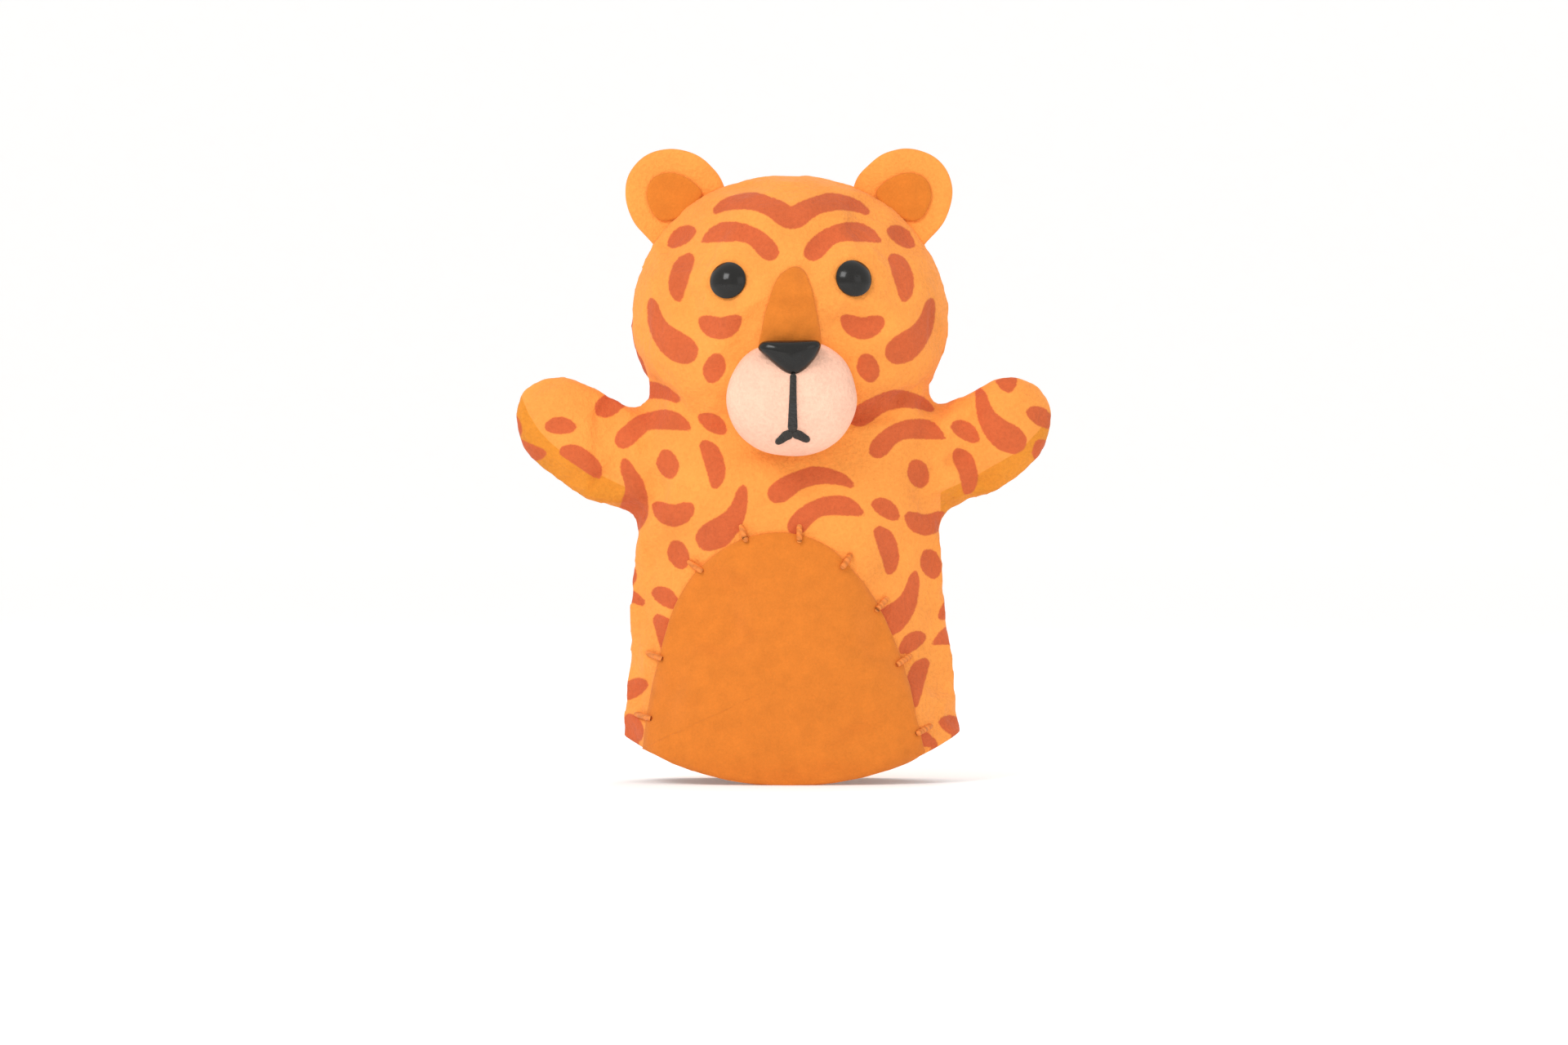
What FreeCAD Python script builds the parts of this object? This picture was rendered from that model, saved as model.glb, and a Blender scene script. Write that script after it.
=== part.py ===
"""Glove puppet of a big cat: a spotted plush glove with two arms and a stuffed head.

Millimetres, +Z up. The face looks along -Y and the puppet's right-hand side in front view is +X.
The origin is the centre of the hand opening, level with the lowest point of the hem.

The glove is two plush panels, front and back, sewn at the sides over a thin lining. Each arm is a
plush finger sleeve that turns in a round armhole, and the head is a stuffed shell with a pocket for
the fingers. The short fabric sleeves at the neck and shoulders bunch and stretch as those joints
move; here they are plain shells in their rest shape.
"""

import FreeCAD, Part

import math
import os

from FreeCAD import Matrix, Rotation, Vector

# Fabric thicknesses.
PLUSH = 2.0
LINING = 0.8
FACING = 0.9
FELT = 1.4
CLEAR = 0.3  # between soft solids on different moving bodies

# Glove body: height, half width and half depth of its oval sections.
TORSO_SECTIONS = (
    (-4.0, 70.0, 36.5),
    (60.0, 65.6, 34.2),
    (108.0, 62.2, 31.5),
    (136.0, 59.8, 28.8),
    (175.0, 56.0, 25.0),
)
HEM_HALF_WIDTH = 68.5
HEM_RISE = 19.7  # how far the hem's side corners stand above its middle
NECKLINE_HALF_WIDTH = 58.0
NECKLINE_Z = 136.0
NECKLINE_RISE = 16.5
HEM_BAND = 12.0
REACH = 80.0  # cutting tools reach this far past the glove on each side
EVERYWHERE = Vector(300.0, 300.0, 300.0)  # the far corner of a space that holds the whole puppet

# Belly patch: the arch of its upper edge, as x and z, from hem to hem.
BELLY_ARCH = (
    (-58.0, 0.0),
    (-52.0, 52.0),
    (-33.0, 90.5),
    (-5.0, 102.3),
    (23.7, 89.5),
    (46.0, 48.0),
    (54.8, 0.0),
)
# Whip stitches round the patch: middle x and z, and the angle of the thread above +X.
BELLY_STITCHES = (
    (-59.0, 27.0, 165.0),
    (-54.5, 52.0, 157.0),
    (-37.7, 88.3, 144.0),
    (-18.0, 101.6, 115.0),
    (4.2, 102.0, 89.0),
    (23.2, 90.2, 57.0),
    (37.8, 72.3, 45.0),
    (47.0, 50.0, 38.0),
    (54.7, 21.8, 30.0),
)
STITCH_LENGTH = 7.4
STITCH_RADIUS = 1.0

# Head: an egg-shaped ball on the neck.
HEAD_CENTRE = Vector(0.0, 0.0, 188.3)
HEAD_HALF = Vector(64.5, 48.0, 59.3)
HEAD_BASE_Z = 169.0  # the firm stuffing starts here; below it the cheeks and chin give
POCKET_HALF = Vector(19.0, 13.0, 54.0)
POCKET_WALL = 1.0
POCKET_EASE = 0.1  # between the pocket and the stuffing round it
# Neck: height, half width and half depth of its oval sections.
NECK_SECTIONS = (
    (130.0, 60.3, 29.4),
    (136.0, 59.8, 28.8),
    (148.0, 58.4, 31.5),
    (159.0, 58.4, 39.0),
    (169.5, 61.1, 45.6),
)
NECK_TAPE_Z = (155.0, 161.0)
NECK_PIVOT = Vector(0.0, 0.0, 140.0)
NOD_LIMIT = 25.0  # degrees, chin down
TILT_LIMIT = 12.0  # degrees to either side; the muzzle's underside clears the chest at both limits

# Muzzle, nose and mouth.
MUZZLE_CENTRE = Vector(1.2, -40.0, 156.5)
MUZZLE_HALF = Vector(26.3, 18.0, 23.5)
MUZZLE_COVER = 1.5
NOSE_X = 0.6
NOSE_TOP_Z = 180.0
NOSE_TIP_Z = 165.0
# Outline of the nose about the middle of its top edge, as x and z.
NOSE_OUTLINE = (
    (-12.5, -2.2),
    (-9.0, 0.0),
    (9.0, 0.0),
    (12.5, -2.2),
    (6.0, -10.5),
    (0.6, -15.0),
    (-5.2, -11.0),
)
NOSE_DOME_HALF = (20.0, 17.0)  # half width and half height of the ball its front is cut from
NOSE_DOME_DROP = 5.0
NOSE_BACK_Y = -46.0
NOSE_FRONT_Y = -60.5
NOSE_SHANK_Z = 175.5
NOSE_SHANK_START_Y = -54.0
NOSE_SHANK_LENGTH = 15.0
NOSE_WASHER_Y = -43.0
# Strokes of the mouth: x, z and half width where each starts and ends.
MOUTH_STROKES = (
    ((1.6, 163.8, 1.0), (1.6, 143.0, 1.6)),
    ((1.6, 142.6, 1.9), (-4.6, 138.9, 1.3)),
    ((1.6, 142.6, 1.9), (7.6, 139.6, 1.3)),
)
MOUTH_THREAD = 0.9
# Felt bridge of the nose: the arch of its edge, as x and z, from the nose's top round to it again.
BRIDGE_ARCH = (
    (-11.6, 180.2),
    (-8.4, 196.0),
    (-3.4, 207.0),
    (1.3, 209.5),
    (5.8, 207.0),
    (9.6, 196.0),
    (11.6, 180.2),
)

# Safety eyes and their washers.
EYES = {"left": (-24.5, 204.0), "right": (26.0, 204.8)}
EYE_RADIUS = 7.5
EYE_DOME = 3.6
EYE_RIM = 0.8  # thickness of the straight edge below the dome
SHANK_RADIUS = 2.0
SHANK_LENGTH = 8.0
WASHER_RADIUS = 6.0
WASHER_THICKNESS = 1.2
WASHER_DEPTH = 2.6  # below the face surface, on the wrong side of the plush

# Ears: a round lobe on a tapered root that is caught in the head seam.
EAR_CENTRE = (48.2, 240.0)
EAR_RADIUS = 18.3
EAR_THICKNESS = 8.0
EAR_LEAN = 45.0  # degrees from +X to the middle of the lobe's arc
EAR_ROOT = ((24.0, 241.0), (52.0, 214.0))
# Outline of the felt patch on the right ear, as x and z.
EAR_PATCH = (
    (57.3, 238.5),
    (53.5, 245.0),
    (45.0, 246.2),
    (35.3, 240.0),
    (40.5, 232.5),
    (51.0, 226.8),
    (55.0, 229.5),
)

# Arms: each turns about a shoulder centre inside the glove and rises at ARM_ANGLE.
SHOULDER = Vector(52.0, 0.0, 124.5)
ARM_ANGLE = 30.0
ARM_START = 20.0  # the arm is firm from here; nearer the body its fabric gives
ARM_TIP_CENTRE = 46.5
ARM_CAP_ANGLES = (0, 15, 30, 45, 58, 70, 80)  # rings of the paw's round end, from its middle
ARM_ROOT_RADIUS = 20.0
ARM_TIP_RADIUS = 16.7
ARM_FLATTEN = 0.82
ARMHOLE_RADIUS = 29.5  # the soft round of fabric about each shoulder
FINGER_END = 39.0  # the finger sleeve closes here; stuffing fills the paw past it


def save(name, shape):
    """Write one node's solids to parts/name.step."""
    solids = [s for s in shape.Solids if s.Volume > 1e-3]
    assert solids and all(s.isValid() for s in solids), name
    out = solids[0] if len(solids) == 1 else Part.makeCompound(solids)
    out.exportStep(f"parts/{name}.step")
    print(f"{name}: {len(solids)} solid(s), {out.Volume / 1000:.2f} cm3")


def oval(z, half_x, half_y):
    """An elliptical wire in a level plane."""
    curve = Part.Ellipse(Vector(0, 0, z), half_x, half_y)
    return Part.Wire(curve.toShape())


def tube(sections, inset):
    """A solid lofted through level ovals, each smaller by inset all round."""
    return Part.makeLoft([oval(z, a - inset, b - inset) for z, a, b in sections], True, False)


def ellipsoid(centre, half, inset=0.0):
    """A solid ellipsoid with its half sizes reduced by inset."""
    stretch = Matrix()
    stretch.scale(Vector(half.x - inset, half.y - inset, half.z - inset))
    ball = Part.makeSphere(1.0).transformGeometry(stretch)
    ball.translate(centre)
    return ball


def slab(low, high):
    """A box from its lowest corner to its highest."""
    size = high - low
    return Part.makeBox(size.x, size.y, size.z, low)


def front_half():
    return slab(-EVERYWHERE, Vector(EVERYWHERE.x, 0, EVERYWHERE.z))


def back_half():
    return slab(Vector(-EVERYWHERE.x, 0, -EVERYWHERE.z), EVERYWHERE)


def above(z):
    return slab(Vector(-EVERYWHERE.x, -EVERYWHERE.y, z), EVERYWHERE)


def below(z):
    return slab(-EVERYWHERE, Vector(EVERYWHERE.x, EVERYWHERE.y, z))


def level_arc(z_middle, half_width, rise, lift=0.0):
    """An arc in the XZ plane that dips to z_middle, extended to REACH on each side."""
    radius = (half_width**2 + rise**2) / (2 * rise)
    end_z = z_middle + radius - math.sqrt(radius**2 - REACH**2)
    points = [Vector(-REACH, 0, end_z + lift), Vector(0, 0, z_middle + lift), Vector(REACH, 0, end_z + lift)]
    return Part.Arc(*points).toShape()


def band(lower, upper):
    """Everything between two level arcs, cut right through from front to back."""
    a0, a1 = lower.Vertexes[0].Point, lower.Vertexes[-1].Point
    b0, b1 = upper.Vertexes[0].Point, upper.Vertexes[-1].Point
    sides = [Part.LineSegment(a1, b1).toShape(), Part.LineSegment(b0, a0).toShape()]
    outline = Part.Wire(Part.__sortEdges__([lower, sides[0], upper, sides[1]]))
    face = Part.Face(outline)
    face.translate(Vector(0, -EVERYWHERE.y, 0))
    return face.extrude(Vector(0, 2 * EVERYWHERE.y, 0))


def smooth_outline(points, closed=True):
    """A smooth curve through x, z points, in the XZ plane."""
    curve = Part.BSplineCurve()
    curve.interpolate([Vector(x, 0, z) for x, z in points], PeriodicFlag=closed)
    return curve.toShape()


def through_cut(edges, y_low=-EVERYWHERE.y, y_high=0.0):
    """The outline's face swept along Y."""
    face = Part.Face(Part.Wire(edges))
    face.translate(Vector(0, y_low, 0))
    return face.extrude(Vector(0, y_high - y_low, 0))


def mirrored(shape):
    return shape.mirror(Vector(0, 0, 0), Vector(1, 0, 0))


def sided(side, shape):
    """A shape modelled on the +X side, moved to the named side."""
    return shape if side == "right" else mirrored(shape)


def surface_y(x, z, centre, half):
    """Where an ellipsoid's front lies at this x and z."""
    rest = 1 - ((x - centre.x) / half.x) ** 2 - ((z - centre.z) / half.z) ** 2
    return centre.y - half.y * math.sqrt(rest)


def along_normal(shape, x, z):
    """Move a shape made about the origin, facing +Z, to the face at x and z, facing outwards."""
    point = Vector(x, surface_y(x, z, HEAD_CENTRE, HEAD_HALF), z)
    rel = point - HEAD_CENTRE
    normal = Vector(rel.x / HEAD_HALF.x**2, rel.y / HEAD_HALF.y**2, rel.z / HEAD_HALF.z**2)
    moved = shape.copy()
    moved.Placement = FreeCAD.Placement(point, Rotation(Vector(0, 0, 1), normal))
    return moved


# ---------------------------------------------------------------- glove body


def shoulder_rounds(radius):
    """A ball about each shoulder."""
    ball = Part.makeSphere(radius, SHOULDER)
    return ball.fuse(mirrored(ball))


def glove_region():
    """Everything between the hem and the neckline."""
    hem = level_arc(0.0, HEM_HALF_WIDTH, HEM_RISE)
    neckline = level_arc(NECKLINE_Z, NECKLINE_HALF_WIDTH, NECKLINE_RISE)
    return band(hem, neckline)


def make_torso():
    body, holes = glove_region(), shoulder_rounds(ARMHOLE_RADIUS)
    outer, middle, inner = (tube(TORSO_SECTIONS, t) for t in (0.0, PLUSH, PLUSH + LINING))
    plush = outer.cut(middle).common(body).cut(holes)
    lining = middle.cut(inner).common(body).cut(holes)
    for half, cutter in (("front", front_half()), ("back", back_half())):
        save(f"torso_{half}", plush.common(cutter))
        save(f"lining_{half}", lining.common(cutter))
    facing = inner.cut(tube(TORSO_SECTIONS, PLUSH + LINING + FACING))
    hem, hem_top = (level_arc(0.0, HEM_HALF_WIDTH, HEM_RISE, lift=rise) for rise in (0.0, HEM_BAND))
    save("hem_facing", facing.common(band(hem, hem_top)))


def torso_front_y(x, z):
    """The y of the glove's front surface at this x and z."""
    for (z0, a0, b0), (z1, a1, b1) in zip(TORSO_SECTIONS, TORSO_SECTIONS[1:]):
        if z <= z1:
            share = (z - z0) / (z1 - z0)
            half_x, half_y = a0 + share * (a1 - a0), b0 + share * (b1 - b0)
            return -half_y * math.sqrt(1 - (x / half_x) ** 2)
    raise ValueError(z)


def make_belly_patch():
    arch = smooth_outline(BELLY_ARCH, closed=False)
    start, end = (Vector(x, 0, z) for x, z in (BELLY_ARCH[0], BELLY_ARCH[-1]))
    corners = [end, Vector(end.x, 0, -REACH), Vector(start.x, 0, -REACH), start]
    rest = [Part.LineSegment(a, b).toShape() for a, b in zip(corners, corners[1:])]
    cutter = through_cut([arch] + rest)
    skin = tube(TORSO_SECTIONS, -FELT).cut(tube(TORSO_SECTIONS, 0.0))
    save("belly_patch", skin.common(cutter).common(glove_region()))


def make_belly_stitches():
    threads = []
    for x, z, angle in BELLY_STITCHES:
        turn = math.radians(angle)
        run = Vector(math.cos(turn), 0, math.sin(turn)) * (STITCH_LENGTH / 2)
        ends = []
        for sign in (-1, 1):
            at = Vector(x, 0, z) + run * sign
            at.y = torso_front_y(at.x, at.z) - FELT * 0.7
            ends.append(at)
        line = ends[1] - ends[0]
        thread = Part.makeCylinder(STITCH_RADIUS, line.Length, ends[0], line)
        for end in ends:
            thread = thread.fuse(Part.makeSphere(STITCH_RADIUS, end))
        threads.append(thread.removeSplitter())
    save("belly_stitches", Part.makeCompound(threads))


# ---------------------------------------------------------------- neck


def make_neck():
    neckline = level_arc(NECKLINE_Z, NECKLINE_HALF_WIDTH, NECKLINE_RISE, lift=CLEAR)
    far_above = level_arc(HEAD_CENTRE.z, NECKLINE_HALF_WIDTH, NECKLINE_RISE)
    region = band(neckline, far_above).common(below(HEAD_BASE_Z - CLEAR))
    outer, inner = tube(NECK_SECTIONS, 0.0), tube(NECK_SECTIONS, PLUSH)
    sleeve = outer.cut(inner).common(region)
    save("neck_front", sleeve.common(front_half()))
    save("neck_back", sleeve.common(back_half()))
    tape = inner.cut(tube(NECK_SECTIONS, PLUSH + FACING))
    save("neck_tape", tape.common(above(NECK_TAPE_Z[0])).common(below(NECK_TAPE_Z[1])))


# ---------------------------------------------------------------- head


def eye_hardware():
    """For each side the moulded eye, its washer, and the hole its shank makes, all in place."""
    cap_radius = (EYE_RADIUS**2 + EYE_DOME**2) / (2 * EYE_DOME)
    dome = Part.makeSphere(cap_radius, Vector(0, 0, EYE_DOME - cap_radius))
    dome = dome.common(Part.makeCylinder(2 * EYE_RADIUS, 2 * EYE_DOME))
    rim = Part.makeCylinder(EYE_RADIUS, EYE_RIM)
    dome.translate(Vector(0, 0, EYE_RIM))
    shank = Part.makeCylinder(SHANK_RADIUS, SHANK_LENGTH, Vector(0, 0, -SHANK_LENGTH))
    eye = dome.fuse(rim).fuse(shank).removeSplitter()
    under = Vector(0, 0, -WASHER_DEPTH - WASHER_THICKNESS)
    hole = Part.makeCylinder(SHANK_RADIUS, SHANK_LENGTH, Vector(0, 0, -SHANK_LENGTH))
    washer = Part.makeCylinder(WASHER_RADIUS, WASHER_THICKNESS, under).cut(hole)
    loose = (eye, washer, hole)
    return {side: [along_normal(s, x, z) for s in loose] for side, (x, z) in EYES.items()}


def nose_shank():
    start = Vector(NOSE_X, NOSE_SHANK_START_Y, NOSE_SHANK_Z)
    return Part.makeCylinder(SHANK_RADIUS, NOSE_SHANK_LENGTH, start, Vector(0, 1, 0))


def nose_washer():
    middle = Vector(NOSE_X, NOSE_WASHER_Y, NOSE_SHANK_Z)
    disc = Part.makeCylinder(WASHER_RADIUS, WASHER_THICKNESS, middle, Vector(0, 1, 0))
    return disc.cut(nose_shank())


def make_head():
    outer, inner = ellipsoid(HEAD_CENTRE, HEAD_HALF), ellipsoid(HEAD_CENTRE, HEAD_HALF, PLUSH)
    base = Vector(HEAD_CENTRE.x, HEAD_CENTRE.y, HEAD_BASE_Z)
    pocket, finger_room = ellipsoid(base, POCKET_HALF), ellipsoid(base, POCKET_HALF, POCKET_WALL)
    pocket_hole = ellipsoid(base, POCKET_HALF, -POCKET_EASE)
    firm = above(HEAD_BASE_Z)
    hardware = eye_hardware()
    shanks = nose_shank()
    disc = washers = nose_washer()
    for eye, washer, hole in hardware.values():
        shanks = shanks.fuse(hole)
        washers = washers.fuse(washer)
    skin = outer.cut(inner).common(firm).cut(shanks)
    stuffing = inner.common(firm).cut(pocket_hole).cut(shanks).cut(washers)
    for half, cutter in (("front", front_half()), ("back", back_half())):
        save(f"head_{half}", skin.common(cutter))
        save(f"head_stuffing_{half}", stuffing.common(cutter))
    save("finger_pocket", pocket.cut(finger_room).common(firm))
    for side, (eye, washer, hole) in hardware.items():
        save(f"eye_{side}", eye)
        save(f"eye_washer_{side}", washer)
    save("nose_washer", disc)


def neck_and_head_envelope():
    """What the muzzle lies against: the head's own surface, and the neck sleeve with clearance."""
    neck = tube(NECK_SECTIONS, -CLEAR).common(below(HEAD_BASE_Z))
    return ellipsoid(HEAD_CENTRE, HEAD_HALF).common(above(HEAD_BASE_Z)).fuse(neck)


def clear_of_bowed_chest(shape, clearance):
    """The shape less what the glove would take of it with the head right down and tilted each way."""
    for tilt in (0.0, -TILT_LIMIT, TILT_LIMIT):
        chest = tube(TORSO_SECTIONS, -clearance)
        chest.rotate(NECK_PIVOT, Vector(0, 1, 0), -tilt)
        chest.rotate(NECK_PIVOT, Vector(1, 0, 0), -NOD_LIMIT)
        shape = shape.cut(chest)
    return shape


def make_muzzle():
    behind, shank = neck_and_head_envelope(), nose_shank()
    pad = clear_of_bowed_chest(ellipsoid(MUZZLE_CENTRE, MUZZLE_HALF).cut(behind), CLEAR)
    filling = ellipsoid(MUZZLE_CENTRE, MUZZLE_HALF, MUZZLE_COVER).cut(behind)
    filling = clear_of_bowed_chest(filling, CLEAR + MUZZLE_COVER).cut(shank)
    save("muzzle_cover", pad.cut(filling).cut(shank))
    save("muzzle_stuffing", filling)


def nose_block():
    """The nose's outline, a triangle with rounded corners, swept along Y."""
    outline = smooth_outline([(NOSE_X + x, NOSE_TOP_Z + z) for x, z in NOSE_OUTLINE])
    return through_cut([outline], 2 * NOSE_FRONT_Y, NOSE_BACK_Y)


def make_nose():
    """A moulded rounded triangle with a domed front and a shank."""
    dome_half = Vector(NOSE_DOME_HALF[0], NOSE_BACK_Y - NOSE_FRONT_Y, NOSE_DOME_HALF[1])
    dome = ellipsoid(Vector(NOSE_X, NOSE_BACK_Y, NOSE_TOP_Z - NOSE_DOME_DROP), dome_half)
    muzzle, head = ellipsoid(MUZZLE_CENTRE, MUZZLE_HALF), ellipsoid(HEAD_CENTRE, HEAD_HALF)
    nose = nose_block().common(dome).cut(muzzle).cut(head)
    nose = max(nose.Solids, key=lambda s: s.Volume)
    save("nose", nose.fuse(nose_shank()).removeSplitter())


def capsule_bar(x0, z0, r0, x1, z1, r1):
    """A straight bar with round ends of two radii, swept along Y ahead of the muzzle's middle."""
    y, depth = 2 * MUZZLE_CENTRE.y, Vector(0, -MUZZLE_CENTRE.y, 0)
    places = ((x0, z0, r0), (x1, z1, r1))
    ends = [Part.makeCylinder(r, depth.y, Vector(x, y, z), Vector(0, 1, 0)) for x, z, r in places]
    line = Vector(x1 - x0, 0, z1 - z0)
    side = line.cross(Vector(0, 1, 0)).normalize()
    corners = [
        Vector(x0, y, z0) + side * r0,
        Vector(x1, y, z1) + side * r1,
        Vector(x1, y, z1) - side * r1,
        Vector(x0, y, z0) - side * r0,
    ]
    web = Part.Face(Part.makePolygon(corners + corners[:1])).extrude(depth)
    return ends[0].fuse(ends[1]).fuse(web)


def make_mouth():
    """The satin-stitched line below the nose and its small anchor."""
    stem, left, right = (capsule_bar(*start, *end) for start, end in MOUTH_STROKES)
    thread = ellipsoid(MUZZLE_CENTRE, MUZZLE_HALF, -MOUTH_THREAD).cut(ellipsoid(MUZZLE_CENTRE, MUZZLE_HALF))
    line = stem.fuse(left).fuse(right).removeSplitter()
    line = line.cut(above(NOSE_TIP_Z - CLEAR))
    save("mouth", thread.common(line))


def make_nose_bridge():
    """The felt blaze up the middle of the face, ending on the nose."""
    arch = smooth_outline(BRIDGE_ARCH, closed=False)
    start, end = (Vector(x, 0, z) for x, z in (BRIDGE_ARCH[0], BRIDGE_ARCH[-1]))
    foot = Part.LineSegment(end, start).toShape()
    skin = ellipsoid(HEAD_CENTRE, HEAD_HALF, -FELT).cut(ellipsoid(HEAD_CENTRE, HEAD_HALF))
    patch = skin.common(through_cut([arch, foot]))
    save("nose_bridge", patch.cut(ellipsoid(MUZZLE_CENTRE, MUZZLE_HALF)).cut(nose_block()))


def ear_outline():
    """The lobe's arc, closed by straight sides to the two root points inside the head."""
    cx, cz = EAR_CENTRE
    touches = []
    for (x, z), turn in zip(EAR_ROOT, (-1, 1)):
        away = math.hypot(x - cx, z - cz)
        bearing = math.atan2(z - cz, x - cx) + turn * math.acos(EAR_RADIUS / away)
        touches.append(Vector(cx + EAR_RADIUS * math.cos(bearing), 0, cz + EAR_RADIUS * math.sin(bearing)))
    crown = math.radians(EAR_LEAN)
    far = Vector(cx + EAR_RADIUS * math.cos(crown), 0, cz + EAR_RADIUS * math.sin(crown))
    roots = [Vector(x, 0, z) for x, z in EAR_ROOT]
    return [
        Part.LineSegment(roots[0], touches[0]).toShape(),
        Part.Arc(touches[0], far, touches[1]).toShape(),
        Part.LineSegment(touches[1], roots[1]).toShape(),
        Part.LineSegment(roots[1], roots[0]).toShape(),
    ]


def make_ears():
    half = EAR_THICKNESS / 2
    lobe = through_cut(ear_outline(), -half, half)
    rims = [e for e in lobe.Edges if abs(abs(e.CenterOfMass.y) - half) < 1e-6]
    lobe = lobe.makeFillet(half * 0.8, rims)
    lobe = lobe.cut(ellipsoid(HEAD_CENTRE, HEAD_HALF))
    patch = through_cut([smooth_outline(EAR_PATCH)], -half - FELT, -half)
    patch = patch.cut(ellipsoid(HEAD_CENTRE, HEAD_HALF))
    for side in ("left", "right"):
        save(f"ear_front_{side}", sided(side, lobe.common(front_half())))
        save(f"ear_back_{side}", sided(side, lobe.common(back_half())))
        save(f"ear_patch_{side}", sided(side, patch))


# ---------------------------------------------------------------- arms


def arm_oval(s, radius):
    """An upright oval wire across the arm, s along it from the shoulder."""
    side = Vector(s, radius * ARM_FLATTEN, 0)
    return Part.Wire(Part.Ellipse(Vector(s, 0, radius), side, Vector(s, 0, 0)).toShape())


def arm_solid(inset):
    """A round-ended taper about the X axis, flattened front to back."""
    root, tip = ARM_ROOT_RADIUS - inset, ARM_TIP_RADIUS - inset
    sections = [arm_oval(0.0, root)]
    for angle in ARM_CAP_ANGLES:
        turn = math.radians(angle)
        sections.append(arm_oval(ARM_TIP_CENTRE + tip * math.sin(turn), tip * math.cos(turn)))
    return Part.makeLoft(sections, True, True)


def past(s):
    return slab(Vector(s, -EVERYWHERE.y, -EVERYWHERE.z), EVERYWHERE)


def up_to(s):
    return slab(-EVERYWHERE, Vector(s, EVERYWHERE.y, EVERYWHERE.z))


def at_shoulder(shape, side):
    """From the arm's own frame, along +X from the shoulder, to its place on the named side."""
    turn, x = (ARM_ANGLE, SHOULDER.x) if side == "right" else (180.0 - ARM_ANGLE, -SHOULDER.x)
    moved = shape.copy()
    moved.Placement = FreeCAD.Placement(Vector(x, 0, SHOULDER.z), Rotation(Vector(0, 1, 0), -turn))
    return moved


def make_arms():
    plush, lined, hollow = arm_solid(0.0), arm_solid(PLUSH), arm_solid(PLUSH + LINING)
    wall = plush.cut(lined)
    shell = wall.common(past(ARM_START))
    finger_sleeve = lined.common(past(ARM_START)).common(up_to(FINGER_END))
    finger_sleeve = finger_sleeve.cut(hollow.common(up_to(FINGER_END - LINING)))
    parts = {
        "arm_front": shell.common(front_half()),
        "arm_back": shell.common(back_half()),
        "finger_sleeve": finger_sleeve,
        "paw_stuffing": lined.common(past(FINGER_END)),
    }
    for name, shape in parts.items():
        for side in ("left", "right"):
            save(f"{name}_{side}", at_shoulder(shape, side))
    outer = tube(TORSO_SECTIONS, 0.0)
    soft = outer.cut(tube(TORSO_SECTIONS, PLUSH)).common(glove_region())
    soft = soft.common(mirrored(Part.makeSphere(ARMHOLE_RADIUS - CLEAR, SHOULDER)))
    root = at_shoulder(wall.common(up_to(ARM_START - CLEAR)), "left").cut(outer)
    shoulder = soft.cut(at_shoulder(lined, "left")).fuse(root)
    save("shoulder_left", shoulder)
    save("shoulder_right", mirrored(shoulder))


os.makedirs("parts", exist_ok=True)
make_arms()
make_torso()
make_belly_patch()
make_belly_stitches()
make_neck()
make_head()
make_muzzle()
make_nose()
make_mouth()
make_nose_bridge()
make_ears()
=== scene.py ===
import math

import bmesh
import bpy
import numpy as np
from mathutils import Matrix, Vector, noise
from mathutils.bvhtree import BVHTree


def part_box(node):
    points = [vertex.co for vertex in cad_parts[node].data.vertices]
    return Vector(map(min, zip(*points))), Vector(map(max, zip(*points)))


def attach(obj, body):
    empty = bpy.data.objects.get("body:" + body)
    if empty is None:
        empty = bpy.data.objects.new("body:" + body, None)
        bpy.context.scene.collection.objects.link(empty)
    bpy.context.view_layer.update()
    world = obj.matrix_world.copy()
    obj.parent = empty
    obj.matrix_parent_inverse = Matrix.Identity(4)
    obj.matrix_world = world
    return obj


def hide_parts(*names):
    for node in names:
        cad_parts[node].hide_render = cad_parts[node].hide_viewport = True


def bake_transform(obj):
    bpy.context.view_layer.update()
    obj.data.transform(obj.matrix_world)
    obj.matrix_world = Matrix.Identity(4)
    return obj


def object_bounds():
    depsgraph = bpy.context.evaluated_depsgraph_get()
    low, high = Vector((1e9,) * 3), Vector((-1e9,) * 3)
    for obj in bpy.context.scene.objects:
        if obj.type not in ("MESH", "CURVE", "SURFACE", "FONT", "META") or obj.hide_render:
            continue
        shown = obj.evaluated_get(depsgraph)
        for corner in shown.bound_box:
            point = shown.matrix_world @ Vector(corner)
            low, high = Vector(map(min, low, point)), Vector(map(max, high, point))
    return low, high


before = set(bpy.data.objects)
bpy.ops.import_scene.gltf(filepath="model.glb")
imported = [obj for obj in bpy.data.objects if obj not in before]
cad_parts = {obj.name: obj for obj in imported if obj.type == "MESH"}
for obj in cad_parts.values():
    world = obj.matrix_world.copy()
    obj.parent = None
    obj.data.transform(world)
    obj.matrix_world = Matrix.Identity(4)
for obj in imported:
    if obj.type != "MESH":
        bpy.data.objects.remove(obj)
cad_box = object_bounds()


# ------------------------------------------------------------------ plush body
# The glove, arms and head are one bag of short-pile plush, cut as a front and a back panel and
# sewn together all round the outline, so one seam runs up each side, round the arms and over the
# head. Here the bag is a few oval barrels, fused and smoothed, then pinched in along its seam.

MM = 0.001
SKIN_STEP = 1.5 * MM  # spacing of the skin's mesh
BEFORE_FILLING = 1.5 * MM  # how far inside its finished surface the empty bag lies

head_low, head_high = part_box("head_front")
HEAD_HALF_WIDTH = head_high.x
HEAD_HALF_DEPTH = -head_low.y
HEAD_HALF_HEIGHT = 59.3 * MM
HEAD_MIDDLE_Z = head_high.z - HEAD_HALF_HEIGHT

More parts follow.
